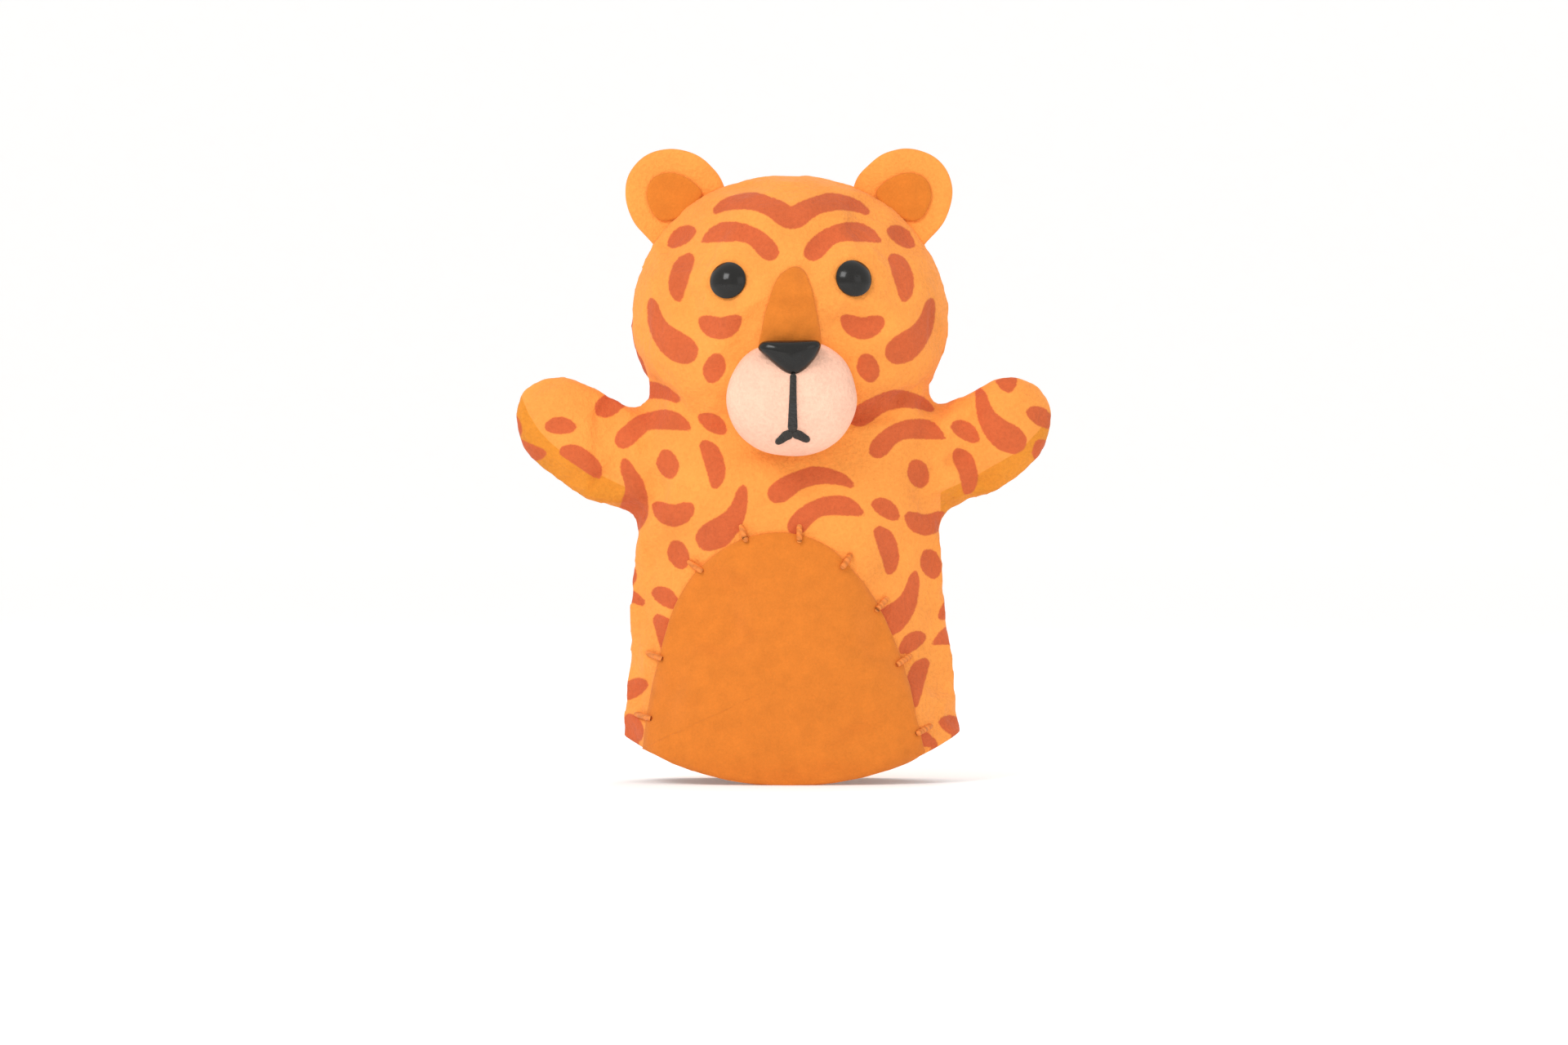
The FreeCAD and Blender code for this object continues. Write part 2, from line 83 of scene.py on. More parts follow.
# Height, half width, half depth and sideways lean of the glove and neck, in mm, up to the head.
GLOVE_OVALS = (
    (-14, 72.4, 37.6, 1.5),
    (20, 70.2, 36.6, 1.2),
    (60, 66.6, 34.6, 0.6),
    (108, 63.0, 31.5, 0.0),
    (136, 60.6, 29.2, 0.0),
    (150, 59.2, 31.0, 0.0),
    (156, 58.0, 35.0, 0.0),
    (160, 57.6, 39.5, 0.0),
)
SHOULDER = Vector((52.0, 0.0, 124.5)) * MM
ARM_RISE = math.radians(30)
ARM_ALONG = Vector((math.cos(ARM_RISE), 0, math.sin(ARM_RISE)))
ARM_ACROSS = Vector((-math.sin(ARM_RISE), 0, math.cos(ARM_RISE)))
# For each arm: distance along it from the shoulder, lift of its middle, half height, half depth, in mm.
ARM_OVALS = {
    -1: (
        (-6, -0.5, 19.6, 14.5),
        (8, -0.8, 20.8, 15.2),
        (20, -1.4, 21.6, 15.6),
        (30, -2.2, 21.2, 15.4),
        (40, -2.3, 20.5, 15.0),
        (50, -2.0, 18.5, 14.2),
        (55, -1.4, 16.5, 13.0),
        (60, -0.6, 13.1, 10.8),
        (63.5, -0.3, 9.4, 8.0),
        (66.0, 0.0, 5.0, 4.6),
        (66.8, 0.0, 1.5, 1.4),
    ),
    1: (
        (-6, -0.5, 19.0, 14.5),
        (8, -0.3, 20.8, 15.2),
        (20, 0.0, 21.3, 15.6),
        (30, -0.1, 21.0, 15.4),
        (40, -0.3, 19.8, 14.9),
        (47, 0.1, 18.4, 14.2),
        (52, 0.7, 16.2, 13.0),
        (56.5, 1.3, 13.2, 10.9),
        (60, 1.5, 9.2, 8.0),
        (62.0, 1.5, 5.0, 4.6),
        (62.7, 1.5, 1.5, 1.4),
    ),
}
HEM_HALF_WIDTH = 68.5 * MM
HEM_RISE = 19.7 * MM


def barrel(bm, rings, segments=72):
    """A closed round solid through rings, each a middle and two half axes."""
    start = bmesh.ops.create_circle(bm, cap_ends=True, segments=segments, radius=1.0)["verts"]
    face = start[0].link_faces[0]
    around = {v: (v.co.x, v.co.y) for v in start}
    for v in start:
        v.co = rings[0][0] + rings[0][1] * around[v][0] + rings[0][2] * around[v][1]
    for before, (middle, wide, deep) in zip(rings, rings[1:]):
        grown = bmesh.ops.extrude_face_region(bm, geom=[face])["geom"]
        face = next(g for g in grown if isinstance(g, bmesh.types.BMFace))
        for v in face.verts:
            out = v.co - before[0]
            share = (out.dot(before[1]) / before[1].length_squared,
                     out.dot(before[2]) / before[2].length_squared)
            v.co = middle + wide * share[0] + deep * share[1]
    open_edges = [e for e in bm.edges if e.is_boundary]
    if open_edges:
        bmesh.ops.holes_fill(bm, edges=open_edges)
    return face


def object_from(bm, name):
    """A new object holding the bmesh, which is used up."""
    bmesh.ops.recalc_face_normals(bm, faces=bm.faces)
    mesh = bpy.data.meshes.new(name)
    bm.to_mesh(mesh)
    bm.free()
    piece = bpy.data.objects.new(name, mesh)
    bpy.context.scene.collection.objects.link(piece)
    return piece


def settle(piece):
    """Applies the piece's modifiers to its mesh."""
    solid = piece.evaluated_get(bpy.context.evaluated_depsgraph_get())
    mesh = bpy.data.meshes.new_from_object(solid)
    piece.modifiers.clear()
    old, piece.data = piece.data, mesh
    bpy.data.meshes.remove(old)
    return piece


def points_of(mesh):
    """The mesh's points as rows of x, y, z."""
    flat = np.empty(len(mesh.vertices) * 3, np.float32)
    mesh.vertices.foreach_get("co", flat)
    return flat.reshape(-1, 3).astype(float)


def normals_of(mesh):
    """The direction of each point's surface, as rows."""
    flat = np.empty(len(mesh.vertices) * 3, np.float32)
    mesh.vertex_normals.foreach_get("vector", flat)
    return flat.reshape(-1, 3).astype(float)


def move_points(mesh, points):
    mesh.vertices.foreach_set("co", points.astype(np.float32).ravel())
    mesh.update()


def hem_height(x):
    """The hem's arc: lowest in the middle, and HEM_RISE higher at the sides."""
    radius = (HEM_HALF_WIDTH**2 + HEM_RISE**2) / (2 * HEM_RISE)
    return radius - np.sqrt(radius**2 - np.clip(x, -0.075, 0.075) ** 2)


def smooth_share(value, start, end):
    """0 before start, 1 after end, and a smooth rise between."""
    t = np.clip((value - start) / (end - start), 0, 1)
    return t * t * (3 - 2 * t)


body_bm = bmesh.new()
trunk = [(Vector((x, 0, z)) * MM, Vector((a, 0, 0)) * MM, Vector((0, b, 0)) * MM) for z, a, b,
         x in GLOVE_OVALS]
bend = math.asin((GLOVE_OVALS[-1][0] + 2.5) * MM / HEAD_HALF_HEIGHT - HEAD_MIDDLE_Z / HEAD_HALF_HEIGHT)
for turn in np.linspace(bend, math.radians(89), 34):
    out = math.cos(turn)
    height = HEAD_MIDDLE_Z + HEAD_HALF_HEIGHT * math.sin(turn)
    trunk.append((Vector((0, 0, height)), Vector((HEAD_HALF_WIDTH * out, 0, 0)),
                  Vector((0, HEAD_HALF_DEPTH * out, 0))))
barrel(body_bm, trunk)
for side in (-1, 1):
    arm_rings = []
    for along, lift, half_height, half_depth in ARM_OVALS[side]:
        middle = SHOULDER + ARM_ALONG * along * MM + ARM_ACROSS * lift * MM
        across = ARM_ACROSS * half_height * MM
        middle.x, across.x = middle.x * side, across.x * side
        arm_rings.append((middle, across, Vector((0, half_depth * MM, 0))))
    barrel(body_bm, arm_rings, segments=48)
body = object_from(body_bm, "plush_body")


def remesh(piece, step, smoothing):
    """Fuses a piece into one even skin, and smooths it."""
    fuse = piece.modifiers.new("fuse", "REMESH")
    fuse.mode = "VOXEL"
    fuse.voxel_size = step
    soften = piece.modifiers.new("soften", "SMOOTH")
    soften.factor = 0.5
    soften.iterations = smoothing
    return settle(piece)


def fill_out(piece, pinned, pressure, ease, furthest):
    """Lets the cloth of a closed bag, a little too big for it, settle under pressure from inside."""
    start = points_of(piece.data)
    group = piece.vertex_groups.new(name="seam")
    group.add([int(k) for k in np.flatnonzero(pinned(start))], 1.0, "REPLACE")
    cloth = piece.modifiers.new("cloth", "CLOTH")
    cloth.settings.quality = 6
    cloth.settings.mass = 0.05
    cloth.settings.bending_stiffness = 0.4
    cloth.settings.use_pressure = True
    cloth.settings.uniform_pressure_force = pressure
    cloth.settings.shrink_min = -ease
    cloth.settings.vertex_group_mass = "seam"
    cloth.settings.effector_weights.gravity = 0
    for step in range(1, 21):
        bpy.context.scene.frame_set(step)
    settle(piece)
    bpy.context.scene.frame_set(1)
    moved = points_of(piece.data) - start
    length = np.linalg.norm(moved, axis=1, keepdims=True)
    move_points(piece.data, start + moved * np.minimum(1, furthest / np.maximum(length, 1e-9)))


def from_hardware(points):
    """How far each point is from the nearest of the eyes and the nose, which hold the cloth."""
    corners = [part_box(name) for name in ("eye_left", "eye_right", "nose")]
    gaps = [np.linalg.norm(points - np.array((low + high) / 2), axis=1) for low, high in corners]
    return np.min(gaps, axis=0)


# The side seams and the hem hold their line while the panels between them fill and wrinkle. The
# bag starts smaller than it ends, because it swells.
remesh(body, 4.0 * MM, 2)
places = points_of(body.data)
taken_in = BEFORE_FILLING * (1 - smooth_share(np.abs(places[:, 0]), 0.068, 0.085))
taken_in *= smooth_share(from_hardware(places), 0.008, 0.022)
move_points(body.data, places - normals_of(body.data) * taken_in[:, None])
held = lambda p: (np.abs(p[:, 1]) < 2.5 * MM) | (p[:, 2] < 2 * MM) | (from_hardware(p) < 0.009)
fill_out(body, held, pressure=1.5, ease=0.06, furthest=3 * MM)
remesh(body, SKIN_STEP, 4)


def ripple(points, size, seed):
    """Smooth noise, about -1 to 1, whose lumps are size across along each axis."""
    offset = Vector((seed * 7.3, seed * 3.1, seed * 5.7))
    scaled = points / np.array(size)
    return np.array([noise.noise(Vector(p) + offset) for p in scaled])


def arm_distances(points):
    """How far each point is along its nearer arm, and above the arm's middle line."""
    outward = np.abs(points[:, 0]) - SHOULDER.x
    up = points[:, 2] - SHOULDER.z
    return outward * ARM_ALONG.x + up * ARM_ALONG.z, up * ARM_ACROSS.z + outward * ARM_ACROSS.x


def side_of_glove(z):
    """The glove's half width at each height."""
    table = np.array(GLOVE_OVALS) * MM
    return np.interp(z, table[:, 0], table[:, 1])


def outside_glove(points):
    """How far out along an arm each point is from the glove's side: negative on the glove and head."""
    out = np.abs(points[:, 0]) - side_of_glove(np.minimum(points[:, 2], 0.152))
    arm_top = 0.1545 + (np.abs(points[:, 0]) - 0.058) * 0.75
    on_arm = (points[:, 2] < arm_top) & (points[:, 2] > 0.098)
    return np.where(on_arm, out, -1.0)


def crease(points):
    """How far in or out the finished cloth lies from the plain bag, in metres along its normals."""
    x, y, z = points.T
    out = outside_glove(points)
    on_glove = 1 - smooth_share(z, 0.150, 0.166)
    seam = -0.9 * MM * np.exp(-((y / (1.5 * MM)) ** 2))
    pucker = 0.45 * MM * np.exp(-((y / (6 * MM)) ** 2)) * ripple(points, (5 * MM, 30 * MM, 5 * MM), 1)
    drape = 1.3 * MM * on_glove * ripple(points, (30 * MM, 30 * MM, 95 * MM), 2)
    drape *= 1 + 0.9 * (1 - smooth_share(z - hem_height(x), 0, 0.05))
    lumps = 0.7 * MM * (1 - on_glove) * ripple(points, (26 * MM, 26 * MM, 26 * MM), 3)
    along, above = arm_distances(points)
    around = (np.exp(-(((along - 14 * MM) / (13 * MM)) ** 2))
              * np.exp(-((above / (24 * MM)) ** 2)) * (np.abs(x) > 0.034))
    folds = 0.9 * MM * around * np.sin(above / (2.1 * MM) + 2.2
                                       * ripple(points, (20 * MM, 20 * MM, 20 * MM), 4))
    throat = np.exp(-(((z - 0.149) / (7 * MM)) ** 2)) * np.exp(-((x / 0.05) ** 4)) * (out < 0)
    folds += 0.8 * MM * throat * np.sin(z / (1.6 * MM) + 2.5 * ripple(points, (30 * MM, 30 * MM, 30 * MM), 5))
    nap = 0.24 * MM * ripple(points, (3.0 * MM, 3.0 * MM, 3.0 * MM), 7)
    return seam + pucker + drape + lumps + folds + nap


places = points_of(body.data)
plain_places = places.copy()
places = places + normals_of(body.data) * crease(places)[:, None]
move_points(body.data, places)


# ------------------------------------------------------------------ printed marks
# The plush is printed before it is cut, in one brick-red ink over orange pile. The print repeats
# seven brush marks, so those at a seam are cut off there. Each point of the skin knows how deep
# it lies inside the nearest mark, and the dye material turns that into a soft printed edge.

# Outlines of the marks about their own middles, x and z in mm.
MARK_SHAPES = {
    "long_stroke": ((17.7, 0), (16.4, -1.5), (11.7, -0.2), (5.1, 0.3), (-1, -0.8), (-5.6, -3.1),
                    (-9.7, -6.4), (-13.8, -7.5), (-16.8, -5.9), (-17.6, -3.3), (-16.3, -0.3),
                    (-11.2, 3.3), (-5.6, 5.6), (-0.5, 7.3), (3.1, 7.5), (8.7, 6.4), (13.8, 4.3),
                    (16.8, 1.5)),
    "brow": ((15.7, 0.9), (15.0, -0.4), (8, -0.2), (1.3, -0.1), (-2.3, -0.8), (-5.4, -3.1), (-8.4, -6.4),
             (-12, -8), (-15.1, -6.6), (-15.7, -4.3), (-14, -0.5), (-8.9, 4.1), (-2.3, 7.1), (4.3, 8.1),
             (8.9, 7.4), (12.5, 5.1)),
    "leaf": ((-6, 2), (-4.2, 4.3), (-0.7, 4.6), (2.9, 2.8), (5.2, -0.3), (5.9, -3.6), (3.9, -4.7),
             (0.9, -4.1), (-3.2, -1.8)),
    "egg": ((-4.6, 1.4), (-3.2, 5.2), (-0.5, 6), (2.2, 4.6), (4.4, 1), (4.6, -2.1), (3.1, -5), (0.8, -6),
            (-2.3, -4.2), (-4.3, -1.2)),
    "wedge": ((-5.3, 8.1), (-3.9, 9.8), (-2.5, 9.9), (1, 8.3), (3.3, 5.4), (4.8, 1), (5.3, -3),
              (4.4, -7.1), (2.4, -9.5), (0.8, -9.9), (-0.5, -8.8), (-2.5, -2.1), (-4.8, 5.4)),
    "crescent": ((9.2, 13.5), (10.3, 11.8), (10.5, 7.4), (9.6, 0.7), (7.1, -5.1), (2.7, -10.5),
                 (-1.8, -12.9), (-6.3, -13.4), (-9.4, -11.4), (-10.4, -8.3), (-9.4, -5.1), (-6.3, -2.2),
                 (-1.3, 0.7), (2.2, 3.3), (4.5, 6.9), (6, 10.9), (7.6, 12.9)),
    "bean": ((-8.9, 3.1), (-7.6, 4.8), (-4.9, 4.9), (0, 3.9), (4.5, 4.6), (7.6, 4.4), (9.1, 2.5),
             (8, -0.7), (4.9, -3.8), (0, -5.1), (-4.5, -3.8), (-7.6, -1.1)),
}
# Face marks lie in pairs about the middle of the face: shape, distance out, height, in mm.
FACE_MIDDLE = 1.0
FACE_MARKS = (
    ("long_stroke", 14.3, 232.5),
    ("brow", 20.7, 219.9),
    ("leaf", 44.5, 222.2),
    ("wedge", 44.5, 205.5),
    ("crescent", 48.0, 183.8),
    ("bean", 28.7, 185.3),
    ("egg", 31.0, 168.7),
)
# The rest of the front: shape, x, z, then 1 or -1 where the mark is turned over, and its turn.
FRONT_MARKS = (
    ("long_stroke", -61.5, 156.0, 1, 0),
    ("long_stroke", 41.7, 152.3, 1, 0),
    ("brow", -55.1, 143.8, 1, 0),
    ("leaf", -31.0, 146.4, 1, 0),
    ("egg", -49.1, 129.7, 1, 0),
    ("wedge", -30.9, 129.7, 1, 0),
    ("crescent", -66.2, 115.9, 1, 40),
    ("bean", -46.9, 109.5, 1, 0),
    ("crescent", -27.2, 108.1, 1, 0),
    ("egg", -44.7, 92.9, 1, 0),
    ("long_stroke", 8.9, 121.5, 1, 0),
    ("brow", 15.0, 109.2, 1, 0),
    ("brow", 48.0, 140.1, 1, 0),
    ("egg", 52.7, 125.7, 1, 0),
    ("leaf", 39.2, 111.5, 1, 0),
    ("wedge", 39.5, 94.8, 1, 0),
    ("bean", 55.9, 105.5, 1, 0),
    ("egg", 58.3, 88.9, 1, 0),
    ("crescent", 42.8, 72.8, 1, 0),
    ("leaf", 67.0, 70.7, -1, 0),
    ("brow", 74.3, 56.3, -1, 0),
    ("leaf", 50.3, 57.3, -1, 0),
    ("wedge", 52.3, 41.0, -1, 0),
    ("leaf", 67.3, 22.7, 1, 0),
    ("brow", 45.7, 15.0, 1, 0),
    ("egg", -66.7, 85.0, 1, 0),
    ("long_stroke", -76.3, 73.3, 1, 0),
    ("leaf", -50.0, 75.3, 1, 0),
    ("wedge", -50.0, 58.7, 1, 0),
    ("leaf", -63.0, 38.0, -1, 0),
    ("egg", -63.8, 22.0, 1, 0),
    ("leaf", -72.7, 153.7, -1, 0),
    ("leaf", -93.1, 145.1, 1, 32),
    ("wedge", -84.1, 130.8, 1, 40),
    ("wedge", -108.7, 136.3, -1, 80),
    ("egg", -113.3, 145.0, 1, 0),
    ("leaf", 71.7, 142.9, 1, 0),
    ("wedge", 71.8, 126.4, 1, 0),
    ("crescent", 86.4, 147.2, -1, 0),
    ("egg", 88.3, 164.7, 1, 0),
    ("leaf", 102.3, 148.7, 1, 0),
    ("egg", 103.7, 133.7, 1, 0),
)
# The back panel carries the same print turned over, and these where the front has its patches.
BACK_MARKS = (
    ("egg", 15.5, 199.0, 1, 0),
    ("egg", -35.0, 199.0, -1, 0),
    ("crescent", -9.5, 190.0, 1, 0),
    ("brow", -12.0, 161.0, 1, 0),
    ("leaf", -25.0, 145.0, 1, 0),
    ("egg", 2.0, 146.0, 1, 0),
    ("wedge", -11.0, 139.0, 1, 0),
    ("crescent", -17.0, 81.0, 1, 0),
    ("brow", 14.0, 80.0, -1, 0),
    ("leaf", 4.0, 63.0, 1, 0),
    ("long_stroke", -20.0, 56.0, 1, 0),
    ("wedge", 18.0, 54.0, 1, 0),
    ("bean", -2.0, 39.0, 1, 0),
    ("egg", 29.0, 40.0, 1, 0),
    ("crescent", -28.0, 29.0, -1, 0),
    ("brow", 20.0, 23.0, 1, 0),
    ("leaf", -8.0, 14.0, -1, 0),
)


SEAM_BARE = 0.9  # mm either side of the seam where the pile is sewn under and no mark shows


def closed_curve(points, steps=8):
    """A smooth closed curve through the points."""
    corner = np.array(points, float)
    before, after, beyond = np.roll(corner, 1, 0), np.roll(corner, -1, 0), np.roll(corner, -2, 0)
    t = (np.arange(steps) / steps)[None, :, None]
    a, b, c, d = (p[:, None, :] for p in (before, corner, after, beyond))
    bend_1, bend_2 = 2 * a - 5 * b + 4 * c - d, 3 * b - a - 3 * c + d
    return (0.5 * (2 * b + (c - a) * t + bend_1 * t**2 + bend_2 * t**3)).reshape(-1, 2)


def depth_inside(spots, curve, reach=4.0):
    """How deep each spot lies inside a closed curve, negative outside, down to -reach."""
    depth = np.full(len(spots), -reach)
    near = np.all((spots > curve.min(0) - reach) & (spots < curve.max(0) + reach), axis=1)
    spot, ends = spots[near][:, None, :], np.roll(curve, -1, 0)
    run = ends - curve
    share = np.clip(((spot - curve) * run).sum(-1) / (run * run).sum(-1), 0, 1)
    gap = np.linalg.norm(spot - curve - share[..., None] * run, axis=-1).min(1)
    spans = (curve[:, 1] > spot[..., 1]) != (ends[:, 1] > spot[..., 1])
    rise = np.where(np.abs(run[:, 1]) < 1e-9, 1e-9, run[:, 1])
    crossed = spot[..., 0] < run[:, 0] * (spot[..., 1] - curve[:, 1]) / rise + curve[:, 0]
    inside = (spans & crossed).sum(1) % 2 == 1
    depth[near] = np.where(inside, gap, -gap)
    return depth


def mark_depth(spots, marks):
    """How deep each spot lies inside the nearest of the marks, in mm."""
    deepest = np.full(len(spots), -4.0)
    for shape, x, z, flip, turn in marks:
        outline = closed_curve(MARK_SHAPES[shape]) * (flip, 1)
        c, s = math.cos(math.radians(turn)), math.sin(math.radians(turn))
        outline = outline @ np.array(((c, s), (-s, c))) + (x, z)
        deepest = np.maximum(deepest, depth_inside(spots, outline))
    return deepest


def keep_on_points(mesh, name, values):
    """Stores a number for each point of the mesh."""
    layer = mesh.attributes.get(name) or mesh.attributes.new(name, "FLOAT", "POINT")
    layer.data.foreach_set("value", np.asarray(values, np.float32))


face_pairs = [(shape, FACE_MIDDLE + flip * x, z, flip, 0) for shape, x, z in FACE_MARKS for flip in (1, -1)]
front_marks = face_pairs + list(FRONT_MARKS)
back_marks = [(shape, -x - 9.0, z - 6.0, -flip, -turn) for shape, x, z, flip,
              turn in FRONT_MARKS + tuple(face_pairs)]
back_marks += BACK_MARKS
flat_spots = plain_places[:, (0, 2)] / MM
on_front = plain_places[:, 1] < 0
printed = np.where(on_front, mark_depth(flat_spots, front_marks), mark_depth(flat_spots, back_marks))
printed = np.minimum(printed, np.abs(plain_places[:, 1]) / MM - SEAM_BARE)
keep_on_points(body.data, "print_depth", printed)

# Painted shade along the underside of each arm, where its rounded lower side lies in shade: the upper edge of
# the darker band, x out and z up.
PAINTED_UNDERARM_SHADE_EDGE = ((58, 116.5), (61, 118), (69, 121.5), (77, 125.4), (84, 129.3), (91, 133.4), (97, 138.2),
                 (102, 143.5), (106, 150), (110, 160))
edge_x, edge_z = np.array(PAINTED_UNDERARM_SHADE_EDGE).T
below_painted_shade_edge = (np.interp(np.abs(flat_spots[:, 0]), edge_x, edge_z) - flat_spots[:, 1]) * 0.85
beyond_side = np.abs(flat_spots[:, 0]) - side_of_glove(plain_places[:, 2]) / MM + 0.4
keep_on_points(body.data, "underarm_painted_shade_depth", np.clip(np.where(outside_glove(plain_places) > -0.01,
                                                             np.minimum(below_painted_shade_edge,
                                                                        beyond_side), -4.0), -4, 4))


def linear(hex_colour):
    """An sRGB hex colour as linear red, green, blue and alpha."""
    parts = [int(hex_colour[i : i + 2], 16) / 255 for i in (1, 3, 5)]
    return [p / 12.92 if p <= 0.04045 else ((p + 0.055) / 1.055) ** 2.4 for p in parts] + [1.0]


def node(material, kind, links=(), **settings):
    """Adds a shader node with its settings, and links sockets of earlier nodes to its inputs."""
    made = material.node_tree.nodes.new(kind)
    for key, value in settings.items():
        if key.startswith("in_"):
            made.inputs[int(key[3:])].default_value = value
        else:
            setattr(made, key, value)
    for socket, source in dict(links).items():
        material.node_tree.links.new(source, made.inputs[socket])
    return made


def new_material(name, roughness, sheen=0.0, specular=0.5, ior=1.5):
    """A material with its shader and output joined, and the shader's constant values set."""
    material = bpy.data.materials.new(name)
    material.use_nodes = True
    material.node_tree.nodes.clear()
    shader = node(material, "ShaderNodeBsdfPrincipled")
    shader.inputs["Roughness"].default_value = roughness
    shader.inputs["Sheen Weight"].default_value = sheen
    shader.inputs["Sheen Roughness"].default_value = 0.5
    shader.inputs["Specular IOR Level"].default_value = specular
    shader.inputs["IOR"].default_value = ior
    node(material, "ShaderNodeOutputMaterial", {"Surface": shader.outputs["BSDF"]})
    return material, shader


def join(material, source, target):
    material.node_tree.links.new(source, target)


PILE_LUMP = 1.5  # mm; real pile is 0.3 mm thick tufts, drawn coarser so that it shows


def plush(name, colour, printed_and_shaded=False):
    """Polyester short-pile plush, sheared: matt, a soft pale sheen at the edges, and a fine uneven nap."""
    material, shader = new_material(name, roughness=0.95, sheen=0.08, specular=0.12)
    where = node(material, "ShaderNodeTexCoord").outputs["Object"]
    tufts = node(material, "ShaderNodeTexNoise", {0: where}, in_2=1000 / PILE_LUMP, in_3=3.0, in_4=0.6)
    strokes = node(material, "ShaderNodeTexNoise", {0: where}, in_2=1000 / 22, in_3=2.0, in_4=0.5)
    base = node(material, "ShaderNodeRGB").outputs[0]
    base.default_value = linear(colour)
    if printed_and_shaded:
        # Painted shade: the band under each arm is darkened to #E38E30 for the shade on its rounded lower
        # side, and the print lies over it.
        under = node(material, "ShaderNodeAttribute", attribute_name="underarm_painted_shade_depth").outputs["Fac"]
        painted_shade_band = node(material, "ShaderNodeMapRange", {"Value": under}, in_1=-0.25, in_2=0.25)
        shade = node(material, "ShaderNodeMix", {0: painted_shade_band.outputs[0], 6: base}, data_type="RGBA",
                     in_7=linear("#E38E30"))
        depth = node(material, "ShaderNodeAttribute", attribute_name="print_depth").outputs["Fac"]
        stray = node(material, "ShaderNodeMath", {0: tufts.outputs[0]}, operation="MULTIPLY_ADD", in_1=1.3,
                     in_2=-0.65)
        edge = node(material, "ShaderNodeMath", {0: depth, 1: stray.outputs[0]}, operation="ADD")
        ink = node(material, "ShaderNodeMapRange", {"Value": edge.outputs[0]}, in_1=-0.3, in_2=0.3)
        dyed = node(material, "ShaderNodeMix", {0: ink.outputs[0], 6: shade.outputs[2]}, data_type="RGBA",
                    in_7=linear("#D06439"))
        base = dyed.outputs[2]
    nap = node(material, "ShaderNodeMath", {0: tufts.outputs[0], 1: strokes.outputs[0]}, operation="ADD")
    level = node(material, "ShaderNodeMapRange", {"Value": nap.outputs[0]}, in_1=0.6, in_2=1.4, in_3=0.84,
                 in_4=1.12)
    worn = node(material, "ShaderNodeMix", {6: base, 7: level.outputs[0]}, data_type="RGBA",
                blend_type="MULTIPLY", in_0=1.0)
    join(material, worn.outputs[2], shader.inputs["Base Color"])
    bump = node(material, "ShaderNodeBump", {"Height": tufts.outputs[0]}, in_0=0.8, in_1=0.9 * MM)
    join(material, bump.outputs[0], shader.inputs["Normal"])
    return material


printed_plush = plush("printed short-pile plush, painted underarm shade", "#F99D49", printed_and_shaded=True)


# ------------------------------------------------------------------ turned hem
# The open edge is folded in and up by 11 mm, plush side out, so from below it is a soft rounded
# lip about 2.5 mm thick. It is grown here from the skin's own cut edge.

# Mm in, mm up.
HEM_TURN = ((0.0, -0.9), (0.5, -1.5), (1.3, -1.7), (2.1, -1.4), (2.5, -0.6), (2.6, 2.0), (2.6, 6.5),
            (2.6, 11.0))


def keep_inside(surface, place, clear):
    """The place itself, or moved inwards until it lies clear of the surface's outer face."""
    skin_point, outward = surface.find_nearest(Vector(place))[:2]
    too_near = (Vector(place) - skin_point).dot(outward) + clear
    return Vector(place) - outward * max(0.0, too_near)


def turn_hem(piece):
    """Folds the skin's lowest open edge inwards and up."""
    bm = bmesh.new()
    bm.from_mesh(piece.data)
    rim = [e for e in bm.edges if e.is_boundary]
    inward = {}
    for v in {v for e in rim for v in e.verts}:
        flat = Vector((v.normal.x, v.normal.y, 0)).normalized()
        inward[v] = (v.co.copy(), -flat)
    for inset, rise in HEM_TURN:
        grown = bmesh.ops.extrude_edge_only(bm, edges=rim)["geom"]
        rim = [g for g in grown if isinstance(g, bmesh.types.BMEdge)]
        following = {}
        for v in (g for g in grown if isinstance(g, bmesh.types.BMVert)):
            old = next(e.other_vert(v) for e in v.link_edges if e.other_vert(v) in inward)
            start, way = inward[old]
            v.co = start + way * inset * MM + Vector((0, 0, rise * MM))
            if rise > 0:
                v.co = keep_inside(body_surface, v.co, 1.9 * MM)
            following[v] = (start, way)
        inward = following
    bm.to_mesh(piece.data)
    bm.free()


body_surface = BVHTree.FromObject(body, bpy.context.evaluated_depsgraph_get())

# The hem is cut along its arc: the body is lowered by the arc, cut level, and raised again.
places = points_of(body.data)
places[:, 2] -= hem_height(places[:, 0])
move_points(body.data, places)
hem_bm = bmesh.new()
hem_bm.from_mesh(body.data)
everything = list(hem_bm.verts) + list(hem_bm.edges) + list(hem_bm.faces)
bmesh.ops.bisect_plane(hem_bm, geom=everything, dist=1e-5, plane_co=(0, 0, 1.2 * MM), plane_no=(0, 0, -1),
                       clear_outer=True)
bmesh.ops.triangulate(hem_bm, faces=[f for f in hem_bm.faces if len(f.verts) > 4])
hem_bm.to_mesh(body.data)
hem_bm.free()
places = points_of(body.data)
places[:, 2] += hem_height(places[:, 0])
move_points(body.data, places)
turn_hem(body)
body.data.shade_smooth()
body.data.materials.append(printed_plush)


# ------------------------------------------------------------------ the skin's moving zones
# The cloth bends at the neck and at each shoulder. The finished skin is parted there, and each
# part keeps the whole skin's surface directions, so that no line shows where two parts meet.

ROOT_START, ROOT_END, ARM_FIRM = -1.0 * MM, 17.0 * MM, 33.0 * MM
HEAD_FIRM_Z = 0.174


def neck_lines(points):
    """The lower and middle parting lines of the neck at each point."""
    spread = np.clip(np.abs(points[:, 0]) / 0.058, 0, 1) ** 2
    return 0.124 + 0.0290 * spread, 0.147 + 0.0165 * spread


